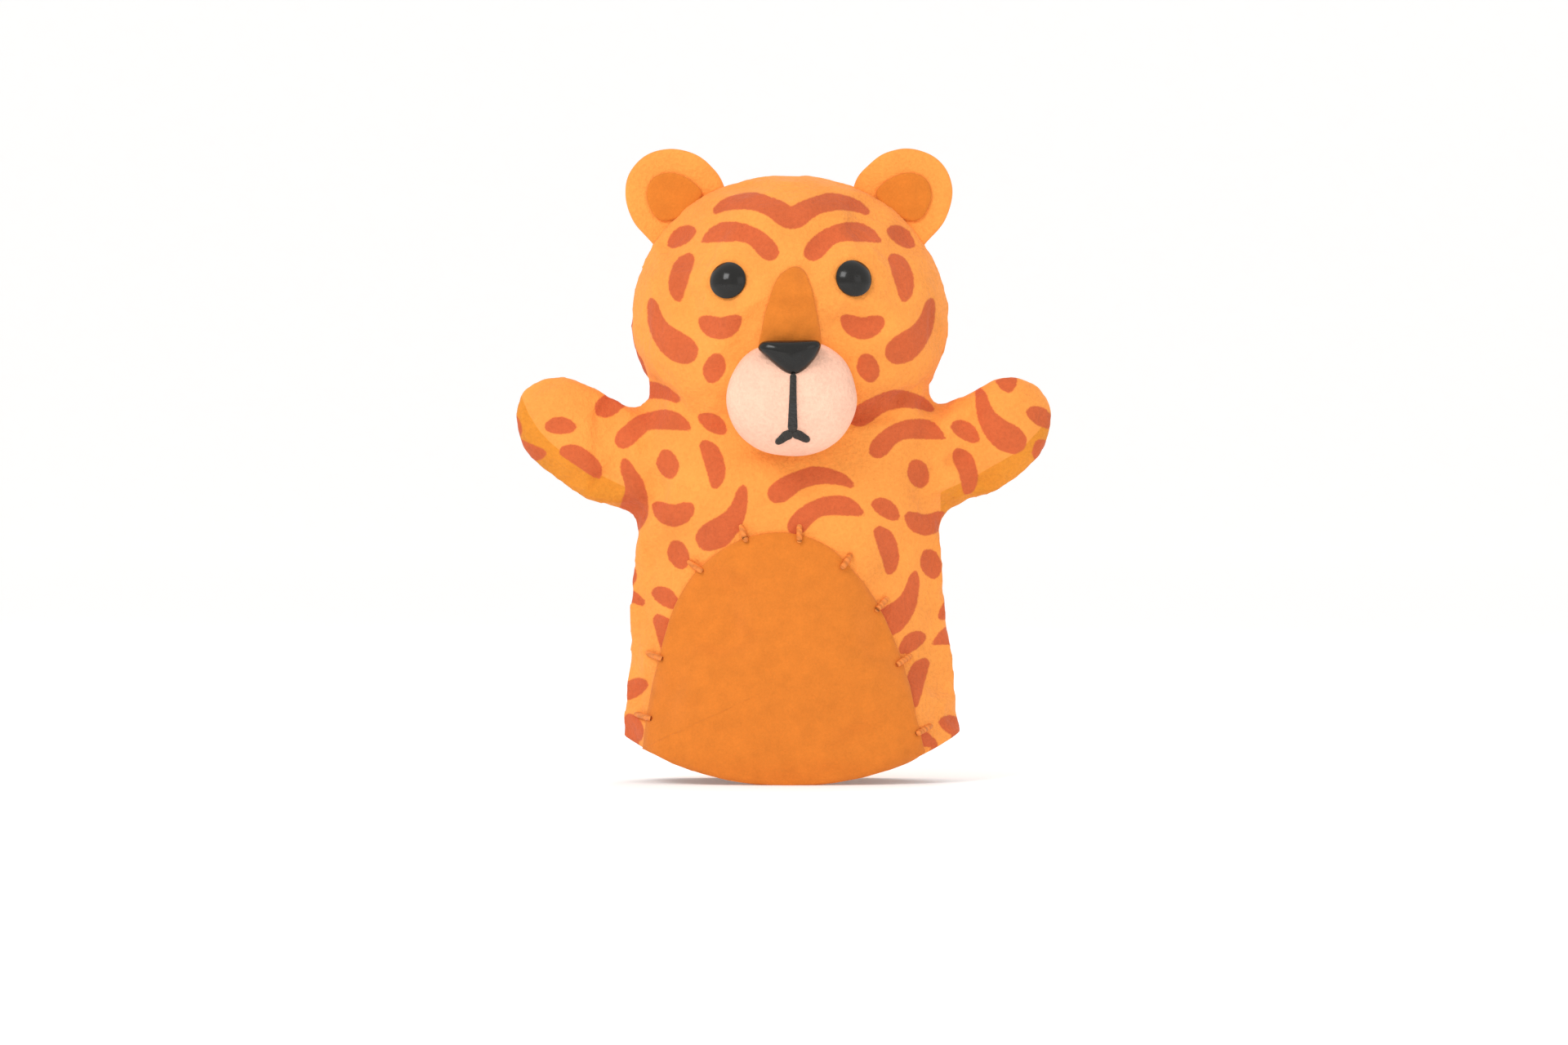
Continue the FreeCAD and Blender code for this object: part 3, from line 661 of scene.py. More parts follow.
def zones_of(points):
    """The zone of each point: glove, neck_low, neck_high, head, or root, wrist and paw of an arm."""
    out, z = outside_glove(points), points[:, 2]
    low, middle = neck_lines(points)
    side = np.where(points[:, 0] < 0, "left", "right")
    zone = np.where(z > low, "neck_low", "glove").astype("U16")
    zone = np.where(z > middle, "neck_high", zone)
    zone = np.where(z > HEAD_FIRM_Z, "head", zone)
    for name, start in (("shoulder", ROOT_START), ("forearm", ROOT_END), ("paw", ARM_FIRM)):
        zone = np.where(out > start, np.char.add(name + "_", side), zone)
    return zone


def faces_at(mesh):
    """The middle of each face, as rows."""
    flat = np.empty(len(mesh.polygons) * 3, np.float32)
    mesh.polygons.foreach_get("center", flat)
    return flat.reshape(-1, 3).astype(float)


def part_off(whole, keep, name):
    """The kept faces of a mesh as a new piece, with the whole mesh's surface directions."""
    bm = bmesh.new()
    bm.from_mesh(whole.data)
    bm.faces.ensure_lookup_table()
    bmesh.ops.delete(bm, geom=[f for f in bm.faces if not keep[f.index]], context="FACES")
    mesh = bpy.data.meshes.new(name)
    bm.to_mesh(mesh)
    bm.free()
    for material in whole.data.materials:
        mesh.materials.append(material)
    mesh.shade_smooth()
    way = np.empty(len(mesh.vertices) * 3, np.float32)
    mesh.attributes["whole_way"].data.foreach_get("vector", way)
    mesh.normals_split_custom_set_from_vertices(way.reshape(-1, 3))
    mesh.attributes.remove(mesh.attributes["whole_way"])
    piece = bpy.data.objects.new(name, mesh)
    bpy.context.scene.collection.objects.link(piece)
    return piece


def bend_with(piece):
    """Bakes the piece's placement into its mesh; it is given to no body."""
    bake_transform(piece)


def share_out(whole, layer, nodes):
    """Parts a whole layer of the bag into its zones, and gives the glove, head and paw zones to their bodies.
    """
    mesh = whole.data
    way = mesh.attributes.new("whole_way", "FLOAT_VECTOR", "POINT")
    way.data.foreach_set("vector", normals_of(mesh).astype(np.float32).ravel())
    zone, pieces = zones_of(faces_at(mesh)), {}
    for name in sorted(set(zone)):
        piece = part_off(whole, zone == name, f"{name}_{layer}")
        points = points_of(piece.data)
        side = name.split("_")[-1]
        if name == "neck_low":
            bend_with(piece)
        elif name == "neck_high":
            bend_with(piece)
        elif name.startswith("shoulder"):
            bend_with(piece)
        elif name.startswith("forearm"):
            bend_with(piece)
        else:
            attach(piece, f"arm_{side}" if name.startswith("paw") else name)
        if name in nodes:
            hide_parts(*nodes[name])
        pieces[name] = piece
    bpy.data.objects.remove(whole)
    return pieces


skin_nodes = {
    "glove": ["torso_front", "torso_back", "hem_facing"],
    "neck_low": ["neck_front", "neck_back"],
    "neck_high": ["neck_tape"],
    "head": ["head_front", "head_back", "head_stuffing_front", "head_stuffing_back"],
    "paw_left": ["arm_front_left", "arm_back_left", "paw_stuffing_left"],
    "paw_right": ["arm_front_right", "arm_back_right", "paw_stuffing_right"],
    "shoulder_left": ["shoulder_left"],
    "shoulder_right": ["shoulder_right"],
}
skin = share_out(body, "plush", skin_nodes)


# ------------------------------------------------------------------ ears
# Each ear is two layers of plush with thin wadding between, turned and caught in the head seam.
# It is a soft flat lobe, a little cupped forwards, with a felt patch sewn on its front.

# The right ear's outline, from its crown round to its root inside the head: x and z in mm.
EAR_OUTLINE = ((48.6, 258.3), (58.2, 255.8), (65.0, 248.6), (66.8, 239.0), (63.5, 228.5), (56.4, 220.2),
               (48.0, 212.0), (36.0, 219.0), (25.0, 232.0), (26.6, 243.9), (31.5, 251.0), (39.0, 256.6))
EAR_MIDDLE = (47.0, 237.0)
EAR_HALF_THICK = 4.2
EAR_CUP = 2.4


def pillow(name, outline, middle, front, back, y, plump=0.7, cup=0.0, segments=96, rings=32):
    """A stuffed flat shape: an outline in x and z about its middle, with rounded front and back, in mm."""
    curve = closed_curve(outline) - middle
    bearing = np.arctan2(curve[:, 1], curve[:, 0])
    reach = np.hypot(curve[:, 0], curve[:, 1])
    order = np.argsort(bearing)
    bearing, reach = bearing[order], reach[order]
    bm = bmesh.new()
    bmesh.ops.create_uvsphere(bm, u_segments=segments, v_segments=rings, radius=1.0)
    for v in bm.verts:
        across, up, through = v.co.x, v.co.y, v.co.z
        out = math.hypot(across, up)
        angle = math.atan2(up, across)
        edge = float(np.interp(angle, bearing, reach, period=2 * math.pi))
        swell = abs(through) ** plump * (front if through > 0 else back)
        depth = y - math.copysign(swell, through) - cup * out**2
        v.co = Vector((middle[0] + edge * out * math.cos(angle), depth,
                       middle[1] + edge * out * math.sin(angle))) * MM
    return object_from(bm, name)


def flipped(piece, name):
    """The piece's mirror image on the other side."""
    bm = bmesh.new()
    bm.from_mesh(piece.data)
    bmesh.ops.scale(bm, vec=(-1, 1, 1), verts=bm.verts)
    return object_from(bm, name)


ears = {"right": pillow("ear_right", EAR_OUTLINE, EAR_MIDDLE, EAR_HALF_THICK, EAR_HALF_THICK, 0.0,
                        plump=0.45, cup=EAR_CUP)}
ears["left"] = flipped(ears["right"], "ear_left")
for side, ear in ears.items():
    places = points_of(ear.data)
    rim_pinch = np.exp(-(((places[:, 1] + EAR_CUP * MM) / (1.2 * MM)) ** 2)) * 0.5 * MM
    places += normals_of(ear.data) * (0.35 * MM * ripple(places, (9 * MM, 9 * MM, 9 * MM), 6)
                                      - rim_pinch)[:, None]
    move_points(ear.data, places)
    keep_on_points(ear.data, "print_depth", np.full(len(places), -4.0))
    keep_on_points(ear.data, "underarm_painted_shade_depth", np.full(len(places), -4.0))
    ear.data.shade_smooth()
    ear.data.materials.append(printed_plush)
    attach(ear, "head")
    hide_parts(f"ear_front_{side}", f"ear_back_{side}")


# ------------------------------------------------------------------ felt patches
# The belly, the bridge of the nose and the inside of each ear are cut from 1.4 mm pressed wool
# felt in a darker orange and laid on the plush. Their cut edges are soft but square.

FELT = 1.4


def felt(name, colour):
    """Pressed wool felt: matt, no weave, short tangled fibres that mottle it and fuzz its surface."""
    material, shader = new_material(name, roughness=0.97, sheen=0.12, specular=0.1)
    where = node(material, "ShaderNodeTexCoord").outputs["Object"]
    fibres = node(material, "ShaderNodeTexNoise", {0: where}, in_2=1000 / 0.9, in_3=4.0, in_4=0.65, in_8=0.6)
    mottle = node(material, "ShaderNodeTexNoise", {0: where}, in_2=1000 / 7.0, in_3=3.0, in_4=0.6)
    both = node(material, "ShaderNodeMath", {0: fibres.outputs[0], 1: mottle.outputs[0]}, operation="ADD")
    level = node(material, "ShaderNodeMapRange", {"Value": both.outputs[0]}, in_1=0.6, in_2=1.4, in_3=0.87,
                 in_4=1.1)
    shade = node(material, "ShaderNodeMix", {7: level.outputs[0]}, data_type="RGBA", blend_type="MULTIPLY",
                 in_0=1.0, in_6=linear(colour))
    join(material, shade.outputs[2], shader.inputs["Base Color"])
    bump = node(material, "ShaderNodeBump", {"Height": fibres.outputs[0]}, in_0=0.45, in_1=0.4 * MM)
    join(material, bump.outputs[0], shader.inputs["Normal"])
    return material


dark_felt = felt("pressed wool felt", "#D97C2D")


def felt_patch(name, outline, middle, surface, rings=14):
    """A piece of felt with an outline in x and z, in mm, laid from the front on the piece under it."""
    curve = closed_curve(outline, steps=6)
    bm = bmesh.new()
    loop = bmesh.ops.create_circle(bm, cap_ends=False, segments=len(curve), radius=1.0)["verts"]
    loop.sort(key=lambda v: math.atan2(v.co.y, v.co.x))
    for v, (x, z) in zip(loop, curve):
        v.co = Vector((x, 0, z))
    edges = list(bm.edges)
    centre = Vector((middle[0], 0, middle[1]))
    shares = [1.0, 1.0, 1.0] + [1 - k / rings for k in range(1, rings)]
    level = {v: (v.co.copy(), 0) for v in loop}
    heights = [-0.4, 0.75 * FELT, FELT] + [FELT] * rings
    edge_in = [0.0, 0.0, 0.35] + [0.35] * rings
    for k, share in enumerate(shares[1:], 1):
        grown = bmesh.ops.extrude_edge_only(bm, edges=edges)["geom"]
        edges = [g for g in grown if isinstance(g, bmesh.types.BMEdge)]
        ring = {}
        for v in (g for g in grown if isinstance(g, bmesh.types.BMVert)):
            old = next(e.other_vert(v) for e in v.link_edges if e.other_vert(v) in level)
            ring[v] = (level[old][0], k)
        level.update(ring)
    bmesh.ops.holes_fill(bm, edges=edges)
    for v, (rim, k) in level.items():
        inward = (centre - rim).normalized() * edge_in[k]
        spot = centre + (rim + inward - centre) * shares[k]
        start = Vector((spot.x * MM, -0.2, spot.z * MM))
        hit, normal = surface.ray_cast(start, Vector((0, 1, 0)))[:2]
        if hit is None:
            hit, normal = surface.find_nearest(Vector((spot.x * MM, -0.03, spot.z * MM)))[:2]
        v.co = hit + normal * heights[k] * MM
    piece = object_from(bm, name)
    piece.data.shade_smooth()
    piece.data.materials.append(dark_felt)
    x, z = (curve * MM).T
    return piece


def hem_at(x):
    return float(hem_height(x * MM)) / MM


BELLY_OUTLINE = [(-58.4, hem_at(-58.4)), (-58.5, hem_at(-58.5) + 0.6), (-58.3, 16.5), (-56.0, 34.0),
                 (-51.5, 54.0), (-46.0, 72.0), (-36.3, 87.3), (-22.0, 98.0), (-5.0, 102.3), (11.0, 99.0),
                 (23.0, 90.0), (36.5, 71.0), (46.0, 47.7), (52.0, 24.0), (54.4, 14.0),
                 (54.6, hem_at(54.6) + 0.6), (54.4, hem_at(54.4))]
BELLY_OUTLINE += [(x, hem_at(x)) for x in (53.4, 46.0, 34.0, 20.0, 4.0, -12.0, -28.0, -44.0, -57.4)]
belly = felt_patch("belly_patch_felt", BELLY_OUTLINE, (-2.0, 42.0), body_surface, rings=22)
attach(belly, "glove")
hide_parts("belly_patch")

BRIDGE_OUTLINE = ((-11.2, 177.0), (-10.6, 184.7), (-8.8, 193.6), (-6.4, 200.9), (-3.2, 206.2),
                  (2.0, 209.4), (6.0, 207.4), (8.4, 202.5), (10.4, 195.6), (11.5, 187.5), (11.8, 177.0),
                  (0.5, 175.0))
bridge = felt_patch("nose_bridge_felt", BRIDGE_OUTLINE, (0.5, 190.0), body_surface)
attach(bridge, "head")
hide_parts("nose_bridge")

EAR_PATCH = ((58.0, 240.0), (55.4, 246.2), (48.5, 248.4), (40.8, 245.8), (35.4, 240.2), (39.0, 234.4),
             (46.0, 229.6), (52.2, 228.8), (56.4, 233.2))
for side, ear in ears.items():
    flip = 1 if side == "right" else -1
    ear_surface = BVHTree.FromObject(ear, bpy.context.evaluated_depsgraph_get())
    outline = [(x * flip, z) for x, z in EAR_PATCH]
    patch = felt_patch(f"ear_patch_felt_{side}", outline, (47.6 * flip, 238.4), ear_surface, rings=8)
    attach(patch, "head")
    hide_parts(f"ear_patch_{side}")


# ------------------------------------------------------------------ muzzle
# The muzzle is a disc of pale plush, gathered over fibre filling and sewn to the face round its
# edge. It is fullest low down, and its underside is hollowed to clear the chest.

muzzle_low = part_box("muzzle_cover")[0]
MUZZLE_MIDDLE = (1.2, 156.5)
MUZZLE_FRONT = -muzzle_low.y / MM
MUZZLE_OUTLINE = ((27.6, 156.5), (25.6, 166.0), (20.5, 173.8), (11.5, 179.0), (1.2, 180.0),
                  (-9.1, 179.0), (-18.1, 173.8), (-23.2, 166.0), (-25.2, 156.5), (-23.4, 148.0),
                  (-18.2, 140.4), (-10.0, 135.0), (1.2, 133.0), (12.4, 135.0), (20.6, 140.4), (25.8, 148.0))
pale_plush = plush("pale short-pile plush", "#FBC8AE")
muzzle = pillow("muzzle_plush", MUZZLE_OUTLINE, MUZZLE_MIDDLE, MUZZLE_FRONT - 40.0, 9.0, -40.0, plump=0.8,
                segments=128, rings=64)
places = points_of(muzzle.data)
cleft = np.exp(-(((places[:, 0] - 1.6 * MM) / (2.4 * MM)) ** 2)) * smooth_share(-places[:, 1], 0.046, 0.054)
dent = -1.1 * MM * cleft * (1 - smooth_share(places[:, 2], 0.163, 0.170)) * smooth_share(places[:, 2],
                                                                                         0.134, 0.142)
places += normals_of(muzzle.data) * (dent + 0.5 * MM * ripple(places, (12 * MM, 12 * MM, 12 * MM), 8))[:,
                                                                                                       None]
throat_line = -0.0325 - 0.55 * np.clip(0.147 - places[:, 2], 0, 1)
places[:, 1] = np.minimum(places[:, 1], np.where(places[:, 2] < 0.147, throat_line, 1))
move_points(muzzle.data, places)
muzzle.data.shade_smooth()
muzzle.data.materials.append(pale_plush)
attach(muzzle, "head")
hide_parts("muzzle_cover", "muzzle_stuffing")
muzzle_surface = BVHTree.FromObject(muzzle, bpy.context.evaluated_depsgraph_get())


# ------------------------------------------------------------------ nose and eyes
# The nose is a glossy moulded animal nose with a rounded, three-cornered face; the eyes are the
# domed safety eyes. All are black ABS, pushed through the cloth onto washers.

NOSE_OUTLINE = ((-12.4, 176.5), (-11.4, 178.8), (-8.8, 179.7), (0.6, 179.9), (10.2, 180.0),
                (12.4, 179.1), (12.8, 177.2), (11.1, 173.5), (7.8, 169.4), (5.0, 167.0), (2.0, 165.6),
                (-1.1, 166.6), (-4.4, 169.0), (-9.6, 173.6))


def moulded_plastic(name, colour, roughness):
    """Injection-moulded ABS: smooth with a faint orange-peel, and fine rub marks that vary its gloss."""
    material, shader = new_material(name, roughness=roughness, specular=0.3, ior=1.54)
    where = node(material, "ShaderNodeTexCoord").outputs["Object"]
    peel = node(material, "ShaderNodeTexNoise", {0: where}, in_2=1000 / 1.5, in_3=2.0)
    rub = node(material, "ShaderNodeTexNoise", {0: where}, in_2=1000 / 4.0, in_3=5.0, in_4=0.7)
    gloss = node(material, "ShaderNodeMapRange", {"Value": rub.outputs[0]}, in_1=0.3, in_2=0.7,
                 in_3=roughness * 0.7, in_4=roughness * 1.5)
    join(material, gloss.outputs[0], shader.inputs["Roughness"])
    tone = node(material, "ShaderNodeMapRange", {"Value": rub.outputs[0]}, in_1=0.3, in_2=0.7, in_3=0.9,
                in_4=1.15)
    shade = node(material, "ShaderNodeMix", {7: tone.outputs[0]}, data_type="RGBA", blend_type="MULTIPLY",
                 in_0=1.0, in_6=linear(colour))
    join(material, shade.outputs[2], shader.inputs["Base Color"])
    bump = node(material, "ShaderNodeBump", {"Height": peel.outputs[0]}, in_0=0.08, in_1=0.1 * MM)
    join(material, bump.outputs[0], shader.inputs["Normal"])
    return material


black_abs = moulded_plastic("glossy black ABS", "#191816", 0.16)
nose_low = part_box("nose")[0]
nose = pillow("nose_moulding", NOSE_OUTLINE, (0.6, 174.5), 8.0, 5.0, nose_low.y / MM + 7.6, plump=0.55,
              segments=96, rings=40)
nose.data.shade_smooth()
nose.data.materials.append(black_abs)
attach(nose, "head")
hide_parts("nose")
washer_plastic = moulded_plastic("natural nylon", "#E8E4DC", 0.5)
for name, material in (("eye_left", black_abs), ("eye_right", black_abs), ("eye_washer_left", washer_plastic),
                       ("eye_washer_right", washer_plastic), ("nose_washer", washer_plastic)):
    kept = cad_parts[name]
    kept.data.materials.clear()
    kept.data.materials.append(material)


# ------------------------------------------------------------------ mouth
# The line below the nose and its small anchor are padded satin stitch in black embroidery floss:
# threads lie side by side across the stroke, so its surface is finely ribbed.

FLOSS = 0.55  # mm between threads, drawn a little coarser than the real 0.4
# Each stroke: points x and z in mm with the half width there.
MOUTH_STROKES = (
    ((1.7, 166.5, 1.0), (1.6, 158.0, 1.15), (1.5, 150.0, 1.45), (1.5, 143.2, 1.8)),
    ((1.6, 142.6, 1.9), (-1.2, 141.6, 1.7), (-3.4, 139.8, 1.35), (-5.4, 138.7, 1.15)),
    ((1.4, 142.6, 1.9), (4.2, 141.8, 1.6), (6.4, 140.5, 1.4), (8.4, 139.8, 1.25)),
)


def thread_material(name, colour, gap, sheen):
    """Mercerised cotton: a slight lustre, with fine twisted plies along it."""
    material, shader = new_material(name, roughness=0.6, sheen=sheen, specular=0.35)
    where = node(material, "ShaderNodeTexCoord").outputs["Object"]
    plies = node(material, "ShaderNodeTexWave", {0: where}, in_1=1000 / gap / 6.3, in_2=1.5,
                 bands_direction="DIAGONAL")
    level = node(material, "ShaderNodeMapRange", {"Value": plies.outputs[1]}, in_3=0.85, in_4=1.1)
    shade = node(material, "ShaderNodeMix", {7: level.outputs[0]}, data_type="RGBA", blend_type="MULTIPLY",
                 in_0=1.0, in_6=linear(colour))
    join(material, shade.outputs[2], shader.inputs["Base Color"])
    bump = node(material, "ShaderNodeBump", {"Height": plies.outputs[1]}, in_0=0.35, in_1=0.15 * MM)
    join(material, bump.outputs[0], shader.inputs["Normal"])
    return material


def on_front(surface, x, z):
    """The point of a surface straight ahead at x and z, in mm, and the surface's direction there."""
    hit, normal = surface.ray_cast(Vector((x * MM, -0.2, z * MM)), Vector((0, 1, 0)))[:2]
    return hit, normal


mouth_bm = bmesh.new()
for stroke in MOUTH_STROKES:
    knots = np.array(stroke)
    length = np.hypot(*np.diff(knots[:, :2], axis=0).T).sum()
    count = max(6, round(length / FLOSS))
    travelled = np.concatenate(([0], np.cumsum(np.hypot(*np.diff(knots[:, :2], axis=0).T))))
    rings = []
    for k in range(count * 2 + 1):
        at = travelled[-1] * k / (count * 2)
        x, z, half = (np.interp(at, travelled, knots[:, c]) for c in range(3))
        ahead_x, ahead_z = (np.interp(at + 0.2, travelled, knots[:, c]) for c in range(2))
        back_x, back_z = (np.interp(at - 0.2, travelled, knots[:, c]) for c in range(2))
        run = Vector((ahead_x - back_x, 0, ahead_z - back_z)).normalized()
        hit, normal = on_front(muzzle_surface, x, z)
        half += 0.3
        end = min(at, travelled[-1] - at) / half
        round_end = math.sqrt(max(0.05, 1 - max(0, 1 - end) ** 2))
        rib = 1.0 if k % 2 else 0.9
        across = normal.cross(run).normalized() * half * round_end * MM
        rings.append((hit - normal * 0.15 * MM, across, normal * 1.05 * round_end * rib * MM))
    barrel(mouth_bm, rings, segments=20)
mouth = object_from(mouth_bm, "mouth_satin_stitch")
mouth.data.shade_smooth()
mouth.data.materials.append(thread_material("black embroidery floss", "#2E2B27", FLOSS, 0.1))
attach(mouth, "head")
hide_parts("mouth")


# ------------------------------------------------------------------ whip stitches
# Nine long whip stitches hold the belly felt: thick cotton thread, up out of the felt and down
# into the plush just outside its edge, each lying a little proud and pulling its ends in.

# Middle x and z in mm, and the thread's angle above +X.
BELLY_STITCHES = ((-59.2, 27.2, 168), (-54.6, 52.0, 160), (-38.0, 88.3, 145), (-18.4, 101.9, 108),
                  (4.2, 101.8, 90), (23.3, 90.6, 57), (37.6, 73.0, 50), (46.6, 50.2, 32), (54.8, 22.0, 27))
STITCH_HALF = 3.7
STITCH_RADIUS = 1.2
STITCH_RISE = 1.3
belly_surface = BVHTree.FromObject(belly, bpy.context.evaluated_depsgraph_get())
stitch_bm = bmesh.new()
for x, z, angle in BELLY_STITCHES:
    run = Vector((math.cos(math.radians(angle)), 0, math.sin(math.radians(angle))))
    rings, spots, floors = [], [], []
    for k in range(15):
        spot = (Vector((x, 0, z)) + run * (k / 7 - 1) * STITCH_HALF) * MM
        tops = [s.ray_cast(Vector((spot.x, -0.2, spot.z)), Vector((0, 1, 0)))[0]
                for s in (body_surface, belly_surface)]
        spots.append(spot)
        floors.append(min(t.y for t in tops if t is not None))
    line = []
    for k, spot in enumerate(spots):
        share = k / 7 - 1
        straight = floors[0] + (floors[-1] - floors[0]) * k / 14
        arch = straight - (STITCH_RISE * (1 - share**2) - 0.3 * STITCH_RADIUS * share**8) * MM
        line.append(Vector((spot.x, min(arch, floors[k] - 0.8 * STITCH_RADIUS * (1 - share**8) * MM),
                            spot.z)))
    for k, point in enumerate(line):
        way = (line[min(k + 1, 14)] - line[max(k - 1, 0)]).normalized()
        side = way.cross(Vector((0, -1, 0))).normalized()
        share = abs(k / 7 - 1)
        size = STITCH_RADIUS * MM * math.sqrt(max(0.04, 1 - share**6))
        rings.append((point, side * size, side.cross(way).normalized() * size))
    barrel(stitch_bm, rings, segments=16)
stitches = object_from(stitch_bm, "belly_whip_stitches")
stitches.data.shade_smooth()
stitches.data.materials.append(thread_material("orange cotton thread", "#E08238", 0.9, 0.0))
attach(stitches, "glove")
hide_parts("belly_stitches")


# ------------------------------------------------------------------ lining
# A thin woven cotton lining follows the inside of the glove, neck and arms, and its top is drawn
# into a pocket for the first finger. It hangs loose, caught only in the hem and the neck.

LINING_GAP = 4.0 * MM
LINING_CLEAR = 3.2 * MM  # never nearer than this to the plush's outer face
LINING_TOP_Z = 0.166


def woven_cotton(name, colour):
    """Plain-weave cotton lawn: flat and matt, warp and weft at right angles, a few slubs."""
    material, shader = new_material(name, roughness=0.85, sheen=0.05, specular=0.25)
    where = node(material, "ShaderNodeTexCoord").outputs["Object"]
    warp = node(material, "ShaderNodeTexWave", {0: where}, in_1=1000 / 0.8 / 6.3, in_2=0.6,
                bands_direction="X")
    weft = node(material, "ShaderNodeTexWave", {0: where}, in_1=1000 / 0.8 / 6.3, in_2=0.6,
                bands_direction="Z")
    cloth = node(material, "ShaderNodeMath", {0: warp.outputs[1], 1: weft.outputs[1]}, operation="ADD")
    slubs = node(material, "ShaderNodeTexNoise", {0: where}, in_2=1000 / 9.0, in_3=3.0)
    level = node(material, "ShaderNodeMapRange", {"Value": slubs.outputs[0]}, in_1=0.3, in_2=0.7, in_3=0.9,
                 in_4=1.08)
    shade = node(material, "ShaderNodeMix", {7: level.outputs[0]}, data_type="RGBA", blend_type="MULTIPLY",
                 in_0=1.0, in_6=linear(colour))
    join(material, shade.outputs[2], shader.inputs["Base Color"])
    bump = node(material, "ShaderNodeBump", {"Height": cloth.outputs[0]}, in_0=0.3, in_1=0.15 * MM)
    join(material, bump.outputs[0], shader.inputs["Normal"])
    return material


inner_bm = bmesh.new()
barrel(inner_bm, [(m, wide * (1 - LINING_GAP / wide.length), deep * (1 - LINING_GAP / deep.length)) for m,
                  wide, deep in trunk[: len(GLOVE_OVALS) + 3]])
for side in (-1, 1):
    arm_rings = []
    for along, lift, half_height, half_depth in ARM_OVALS[side][:6]:
        middle = SHOULDER + ARM_ALONG * along * MM * 0.93 + ARM_ACROSS * lift * MM
        across = ARM_ACROSS * (half_height * MM - LINING_GAP)
        middle.x, across.x = middle.x * side, across.x * side
        arm_rings.append((middle, across, Vector((0, half_depth * MM - LINING_GAP, 0))))
    barrel(inner_bm, arm_rings, segments=40)
lining = object_from(inner_bm, "cotton_lining")
remesh(lining, 2.4 * MM, 4)
places = points_of(lining.data)
places += normals_of(lining.data) * (0.7 * MM * ripple(places, (14 * MM, 14 * MM, 40 * MM), 9) - 0.4
                                     * MM)[:, None]
places = np.array([keep_inside(body_surface, place, LINING_CLEAR) for place in places])
places[:, 2] -= hem_height(places[:, 0])
move_points(lining.data, places)
lining_bm = bmesh.new()
lining_bm.from_mesh(lining.data)
everything = list(lining_bm.verts) + list(lining_bm.edges) + list(lining_bm.faces)
bmesh.ops.bisect_plane(lining_bm, geom=everything, dist=1e-5, plane_co=(0, 0, 9 * MM), plane_no=(0, 0, -1),
                       clear_outer=True)
for v in lining_bm.verts:
    v.co.z += float(hem_height(v.co.x))
everything = list(lining_bm.verts) + list(lining_bm.edges) + list(lining_bm.faces)
bmesh.ops.bisect_plane(lining_bm, geom=everything, dist=1e-5, plane_co=(0, 0, LINING_TOP_Z),
                       plane_no=(0, 0, 1), clear_outer=True)
rim = [e for e in lining_bm.edges if e.is_boundary and min(v.co.z for v in e.verts) > LINING_TOP_Z - 1e-4]
pocket_low, pocket_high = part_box("finger_pocket")
from_ring = {v: v.co.copy() for e in rim for v in e.verts}
bearings = {v: math.atan2(co.y / HEAD_HALF_DEPTH, co.x / HEAD_HALF_WIDTH) for v, co in from_ring.items()}
# Inwards across the base of the head, then up the pocket: size across the pocket, and height up it.
POCKET_RINGS = ((3.0, 0.0), (2.1, 0.01), (1.4, 0.02), (1.04, 0.05), (0.96, 0.2), (0.86, 0.45),
                (0.7, 0.7), (0.45, 0.88), (0.15, 0.97))
half = (pocket_high - pocket_low) / 2 - Vector((1.6, 1.6, 0)) * MM
for size, rise in POCKET_RINGS:
    grown = bmesh.ops.extrude_edge_only(lining_bm, edges=rim)["geom"]
    rim = [g for g in grown if isinstance(g, bmesh.types.BMEdge)]
    following, starts = {}, {}
    for v in (g for g in grown if isinstance(g, bmesh.types.BMVert)):
        old = next(e.other_vert(v) for e in v.link_edges if e.other_vert(v) in bearings)
        turn, start = bearings[old], from_ring[old]
        spot = Vector((half.x * size * math.cos(turn), half.y * size * math.sin(turn), 0))
        if size > 1.1:
            share = (size - 1.1) / 2.6
            spot = spot.lerp(Vector((start.x, start.y, 0)), share)
        v.co = Vector((spot.x, spot.y, LINING_TOP_Z + rise * (pocket_high.z - LINING_TOP_Z)))
        following[v], starts[v] = turn, start
    bearings, from_ring = following, starts
bmesh.ops.holes_fill(lining_bm, edges=rim)
lining_bm.to_mesh(lining.data)
lining_bm.free()
lining.data.shade_smooth()
lining.data.materials.append(woven_cotton("plain-weave cotton lining", "#EDB98A"))
lining_nodes = {
    "glove": ["lining_front", "lining_back"],
    "head": ["finger_pocket"],
    "paw_left": ["finger_sleeve_left"],
    "paw_right": ["finger_sleeve_right"],
}
lining_pieces = share_out(lining, "lining", lining_nodes)


# ------------------------------------------------------------------ stage, light and camera
# A pale seamless sweep, a broad soft light from the upper left and a weaker one from the right,
# and a long lens level with the puppet, so that it is seen straight on.

FLOOR_Z = cad_box[0].z
SWEEP_START, SWEEP_RADIUS = 4.6, 1.5
sweep_bm = bmesh.new()
front_edge = [sweep_bm.verts.new((x, -6.0, FLOOR_Z)) for x in (-7.0, 7.0)]
edges = [sweep_bm.edges.new(front_edge)]
bends = [math.radians(turn) for turn in range(0, 91, 6)]
profile = [(SWEEP_START + SWEEP_RADIUS * math.sin(t), FLOOR_Z + SWEEP_RADIUS * (1 - math.cos(t)))
           for t in bends]
for y, z in profile + [(SWEEP_START + SWEEP_RADIUS, 5.0)]:
    grown = bmesh.ops.extrude_edge_only(sweep_bm, edges=edges)["geom"]
    edges = [g for g in grown if isinstance(g, bmesh.types.BMEdge)]
    for v in (g for g in grown if isinstance(g, bmesh.types.BMVert)):
        v.co.y, v.co.z = y, z
floor = object_from(sweep_bm, "floor")
floor.data.shade_smooth()
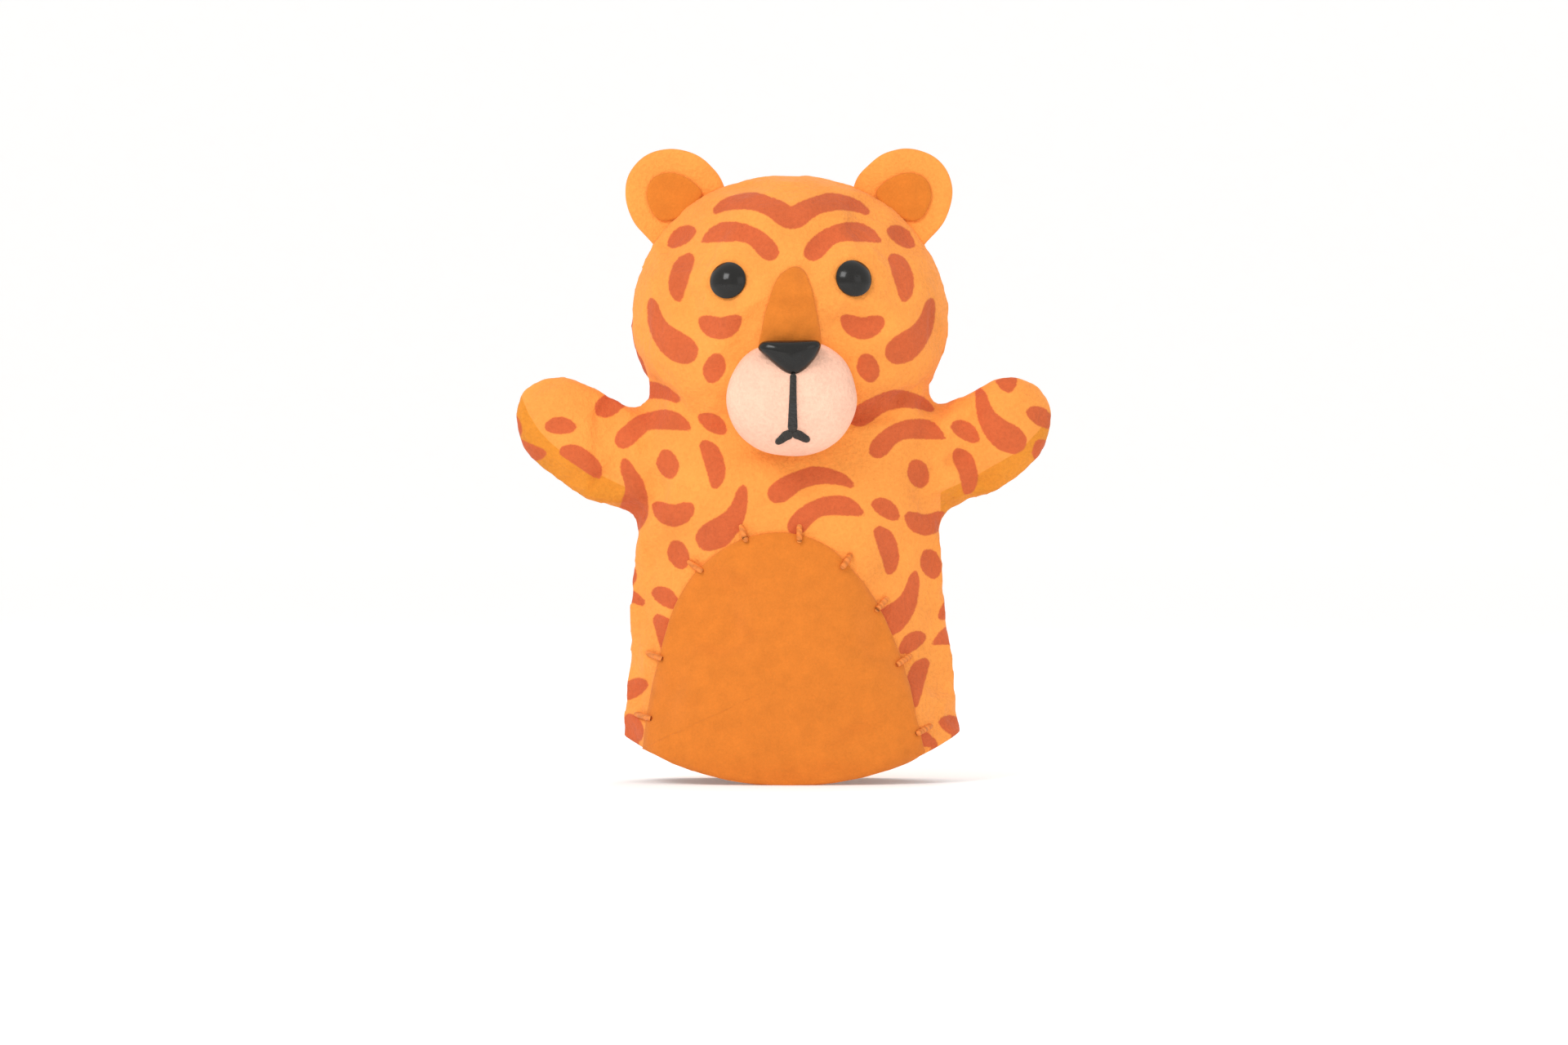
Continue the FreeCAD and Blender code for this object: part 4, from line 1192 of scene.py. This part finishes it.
paper, paper_shader = new_material("matt white paper", roughness=0.9, specular=0.1)
grain = node(paper, "ShaderNodeTexNoise", {0: node(paper, "ShaderNodeTexCoord").outputs["Object"]},
             in_2=60.0, in_3=3.0)
tint = node(paper, "ShaderNodeMapRange", {"Value": grain.outputs[0]}, in_3=0.92, in_4=0.94)
join(paper, tint.outputs[0], paper_shader.inputs["Base Color"])
paper_shader.inputs["Emission Color"].default_value = (1.0, 0.99, 0.98, 1)
paper_shader.inputs["Emission Strength"].default_value = 0.16
floor.data.materials.append(paper)

world = bpy.data.worlds.new("studio")
bpy.context.scene.world = world
world.use_nodes = True
world.node_tree.nodes["Background"].inputs[0].default_value = (1.0, 0.99, 0.98, 1)
world.node_tree.nodes["Background"].inputs[1].default_value = 0.86


def soft_light(name, place, target, size, power):
    """A square area light at place, facing target."""
    lamp = bpy.data.lights.new(name, "AREA")
    lamp.shape = "SQUARE"
    lamp.size = size
    lamp.energy = power
    holder = bpy.data.objects.new(name, lamp)
    holder.location = place
    holder.rotation_euler = (target - Vector(place)).to_track_quat("-Z", "Y").to_euler()
    bpy.context.scene.collection.objects.link(holder)


middle = (cad_box[0] + cad_box[1]) / 2
soft_light("key", (-0.8, -1.2, 1.2), middle, 0.7, 11.0)
soft_light("fill", (1.1, -1.2, 0.6), middle, 0.9, 1.6)
soft_light("rim", (0.4, 1.2, 1.1), middle, 0.7, 5.0)

CAMERA_BACK = 3.6
FRAME_WIDTH = 0.640  # of the picture, at the puppet
camera_data = bpy.data.cameras.new("camera")
camera_data.lens = camera_data.sensor_width * CAMERA_BACK / FRAME_WIDTH
camera = bpy.data.objects.new("camera", camera_data)
AIM = Vector((-2.0, 0, 105.7)) * MM
RISE = math.radians(1.0)
camera.location = AIM + Vector((0, -math.cos(RISE), math.sin(RISE))) * CAMERA_BACK
camera.rotation_euler = (AIM - camera.location).to_track_quat("-Z", "Y").to_euler()
bpy.context.scene.collection.objects.link(camera)
bpy.context.scene.camera = camera
bpy.context.scene.view_settings.view_transform = "Standard"
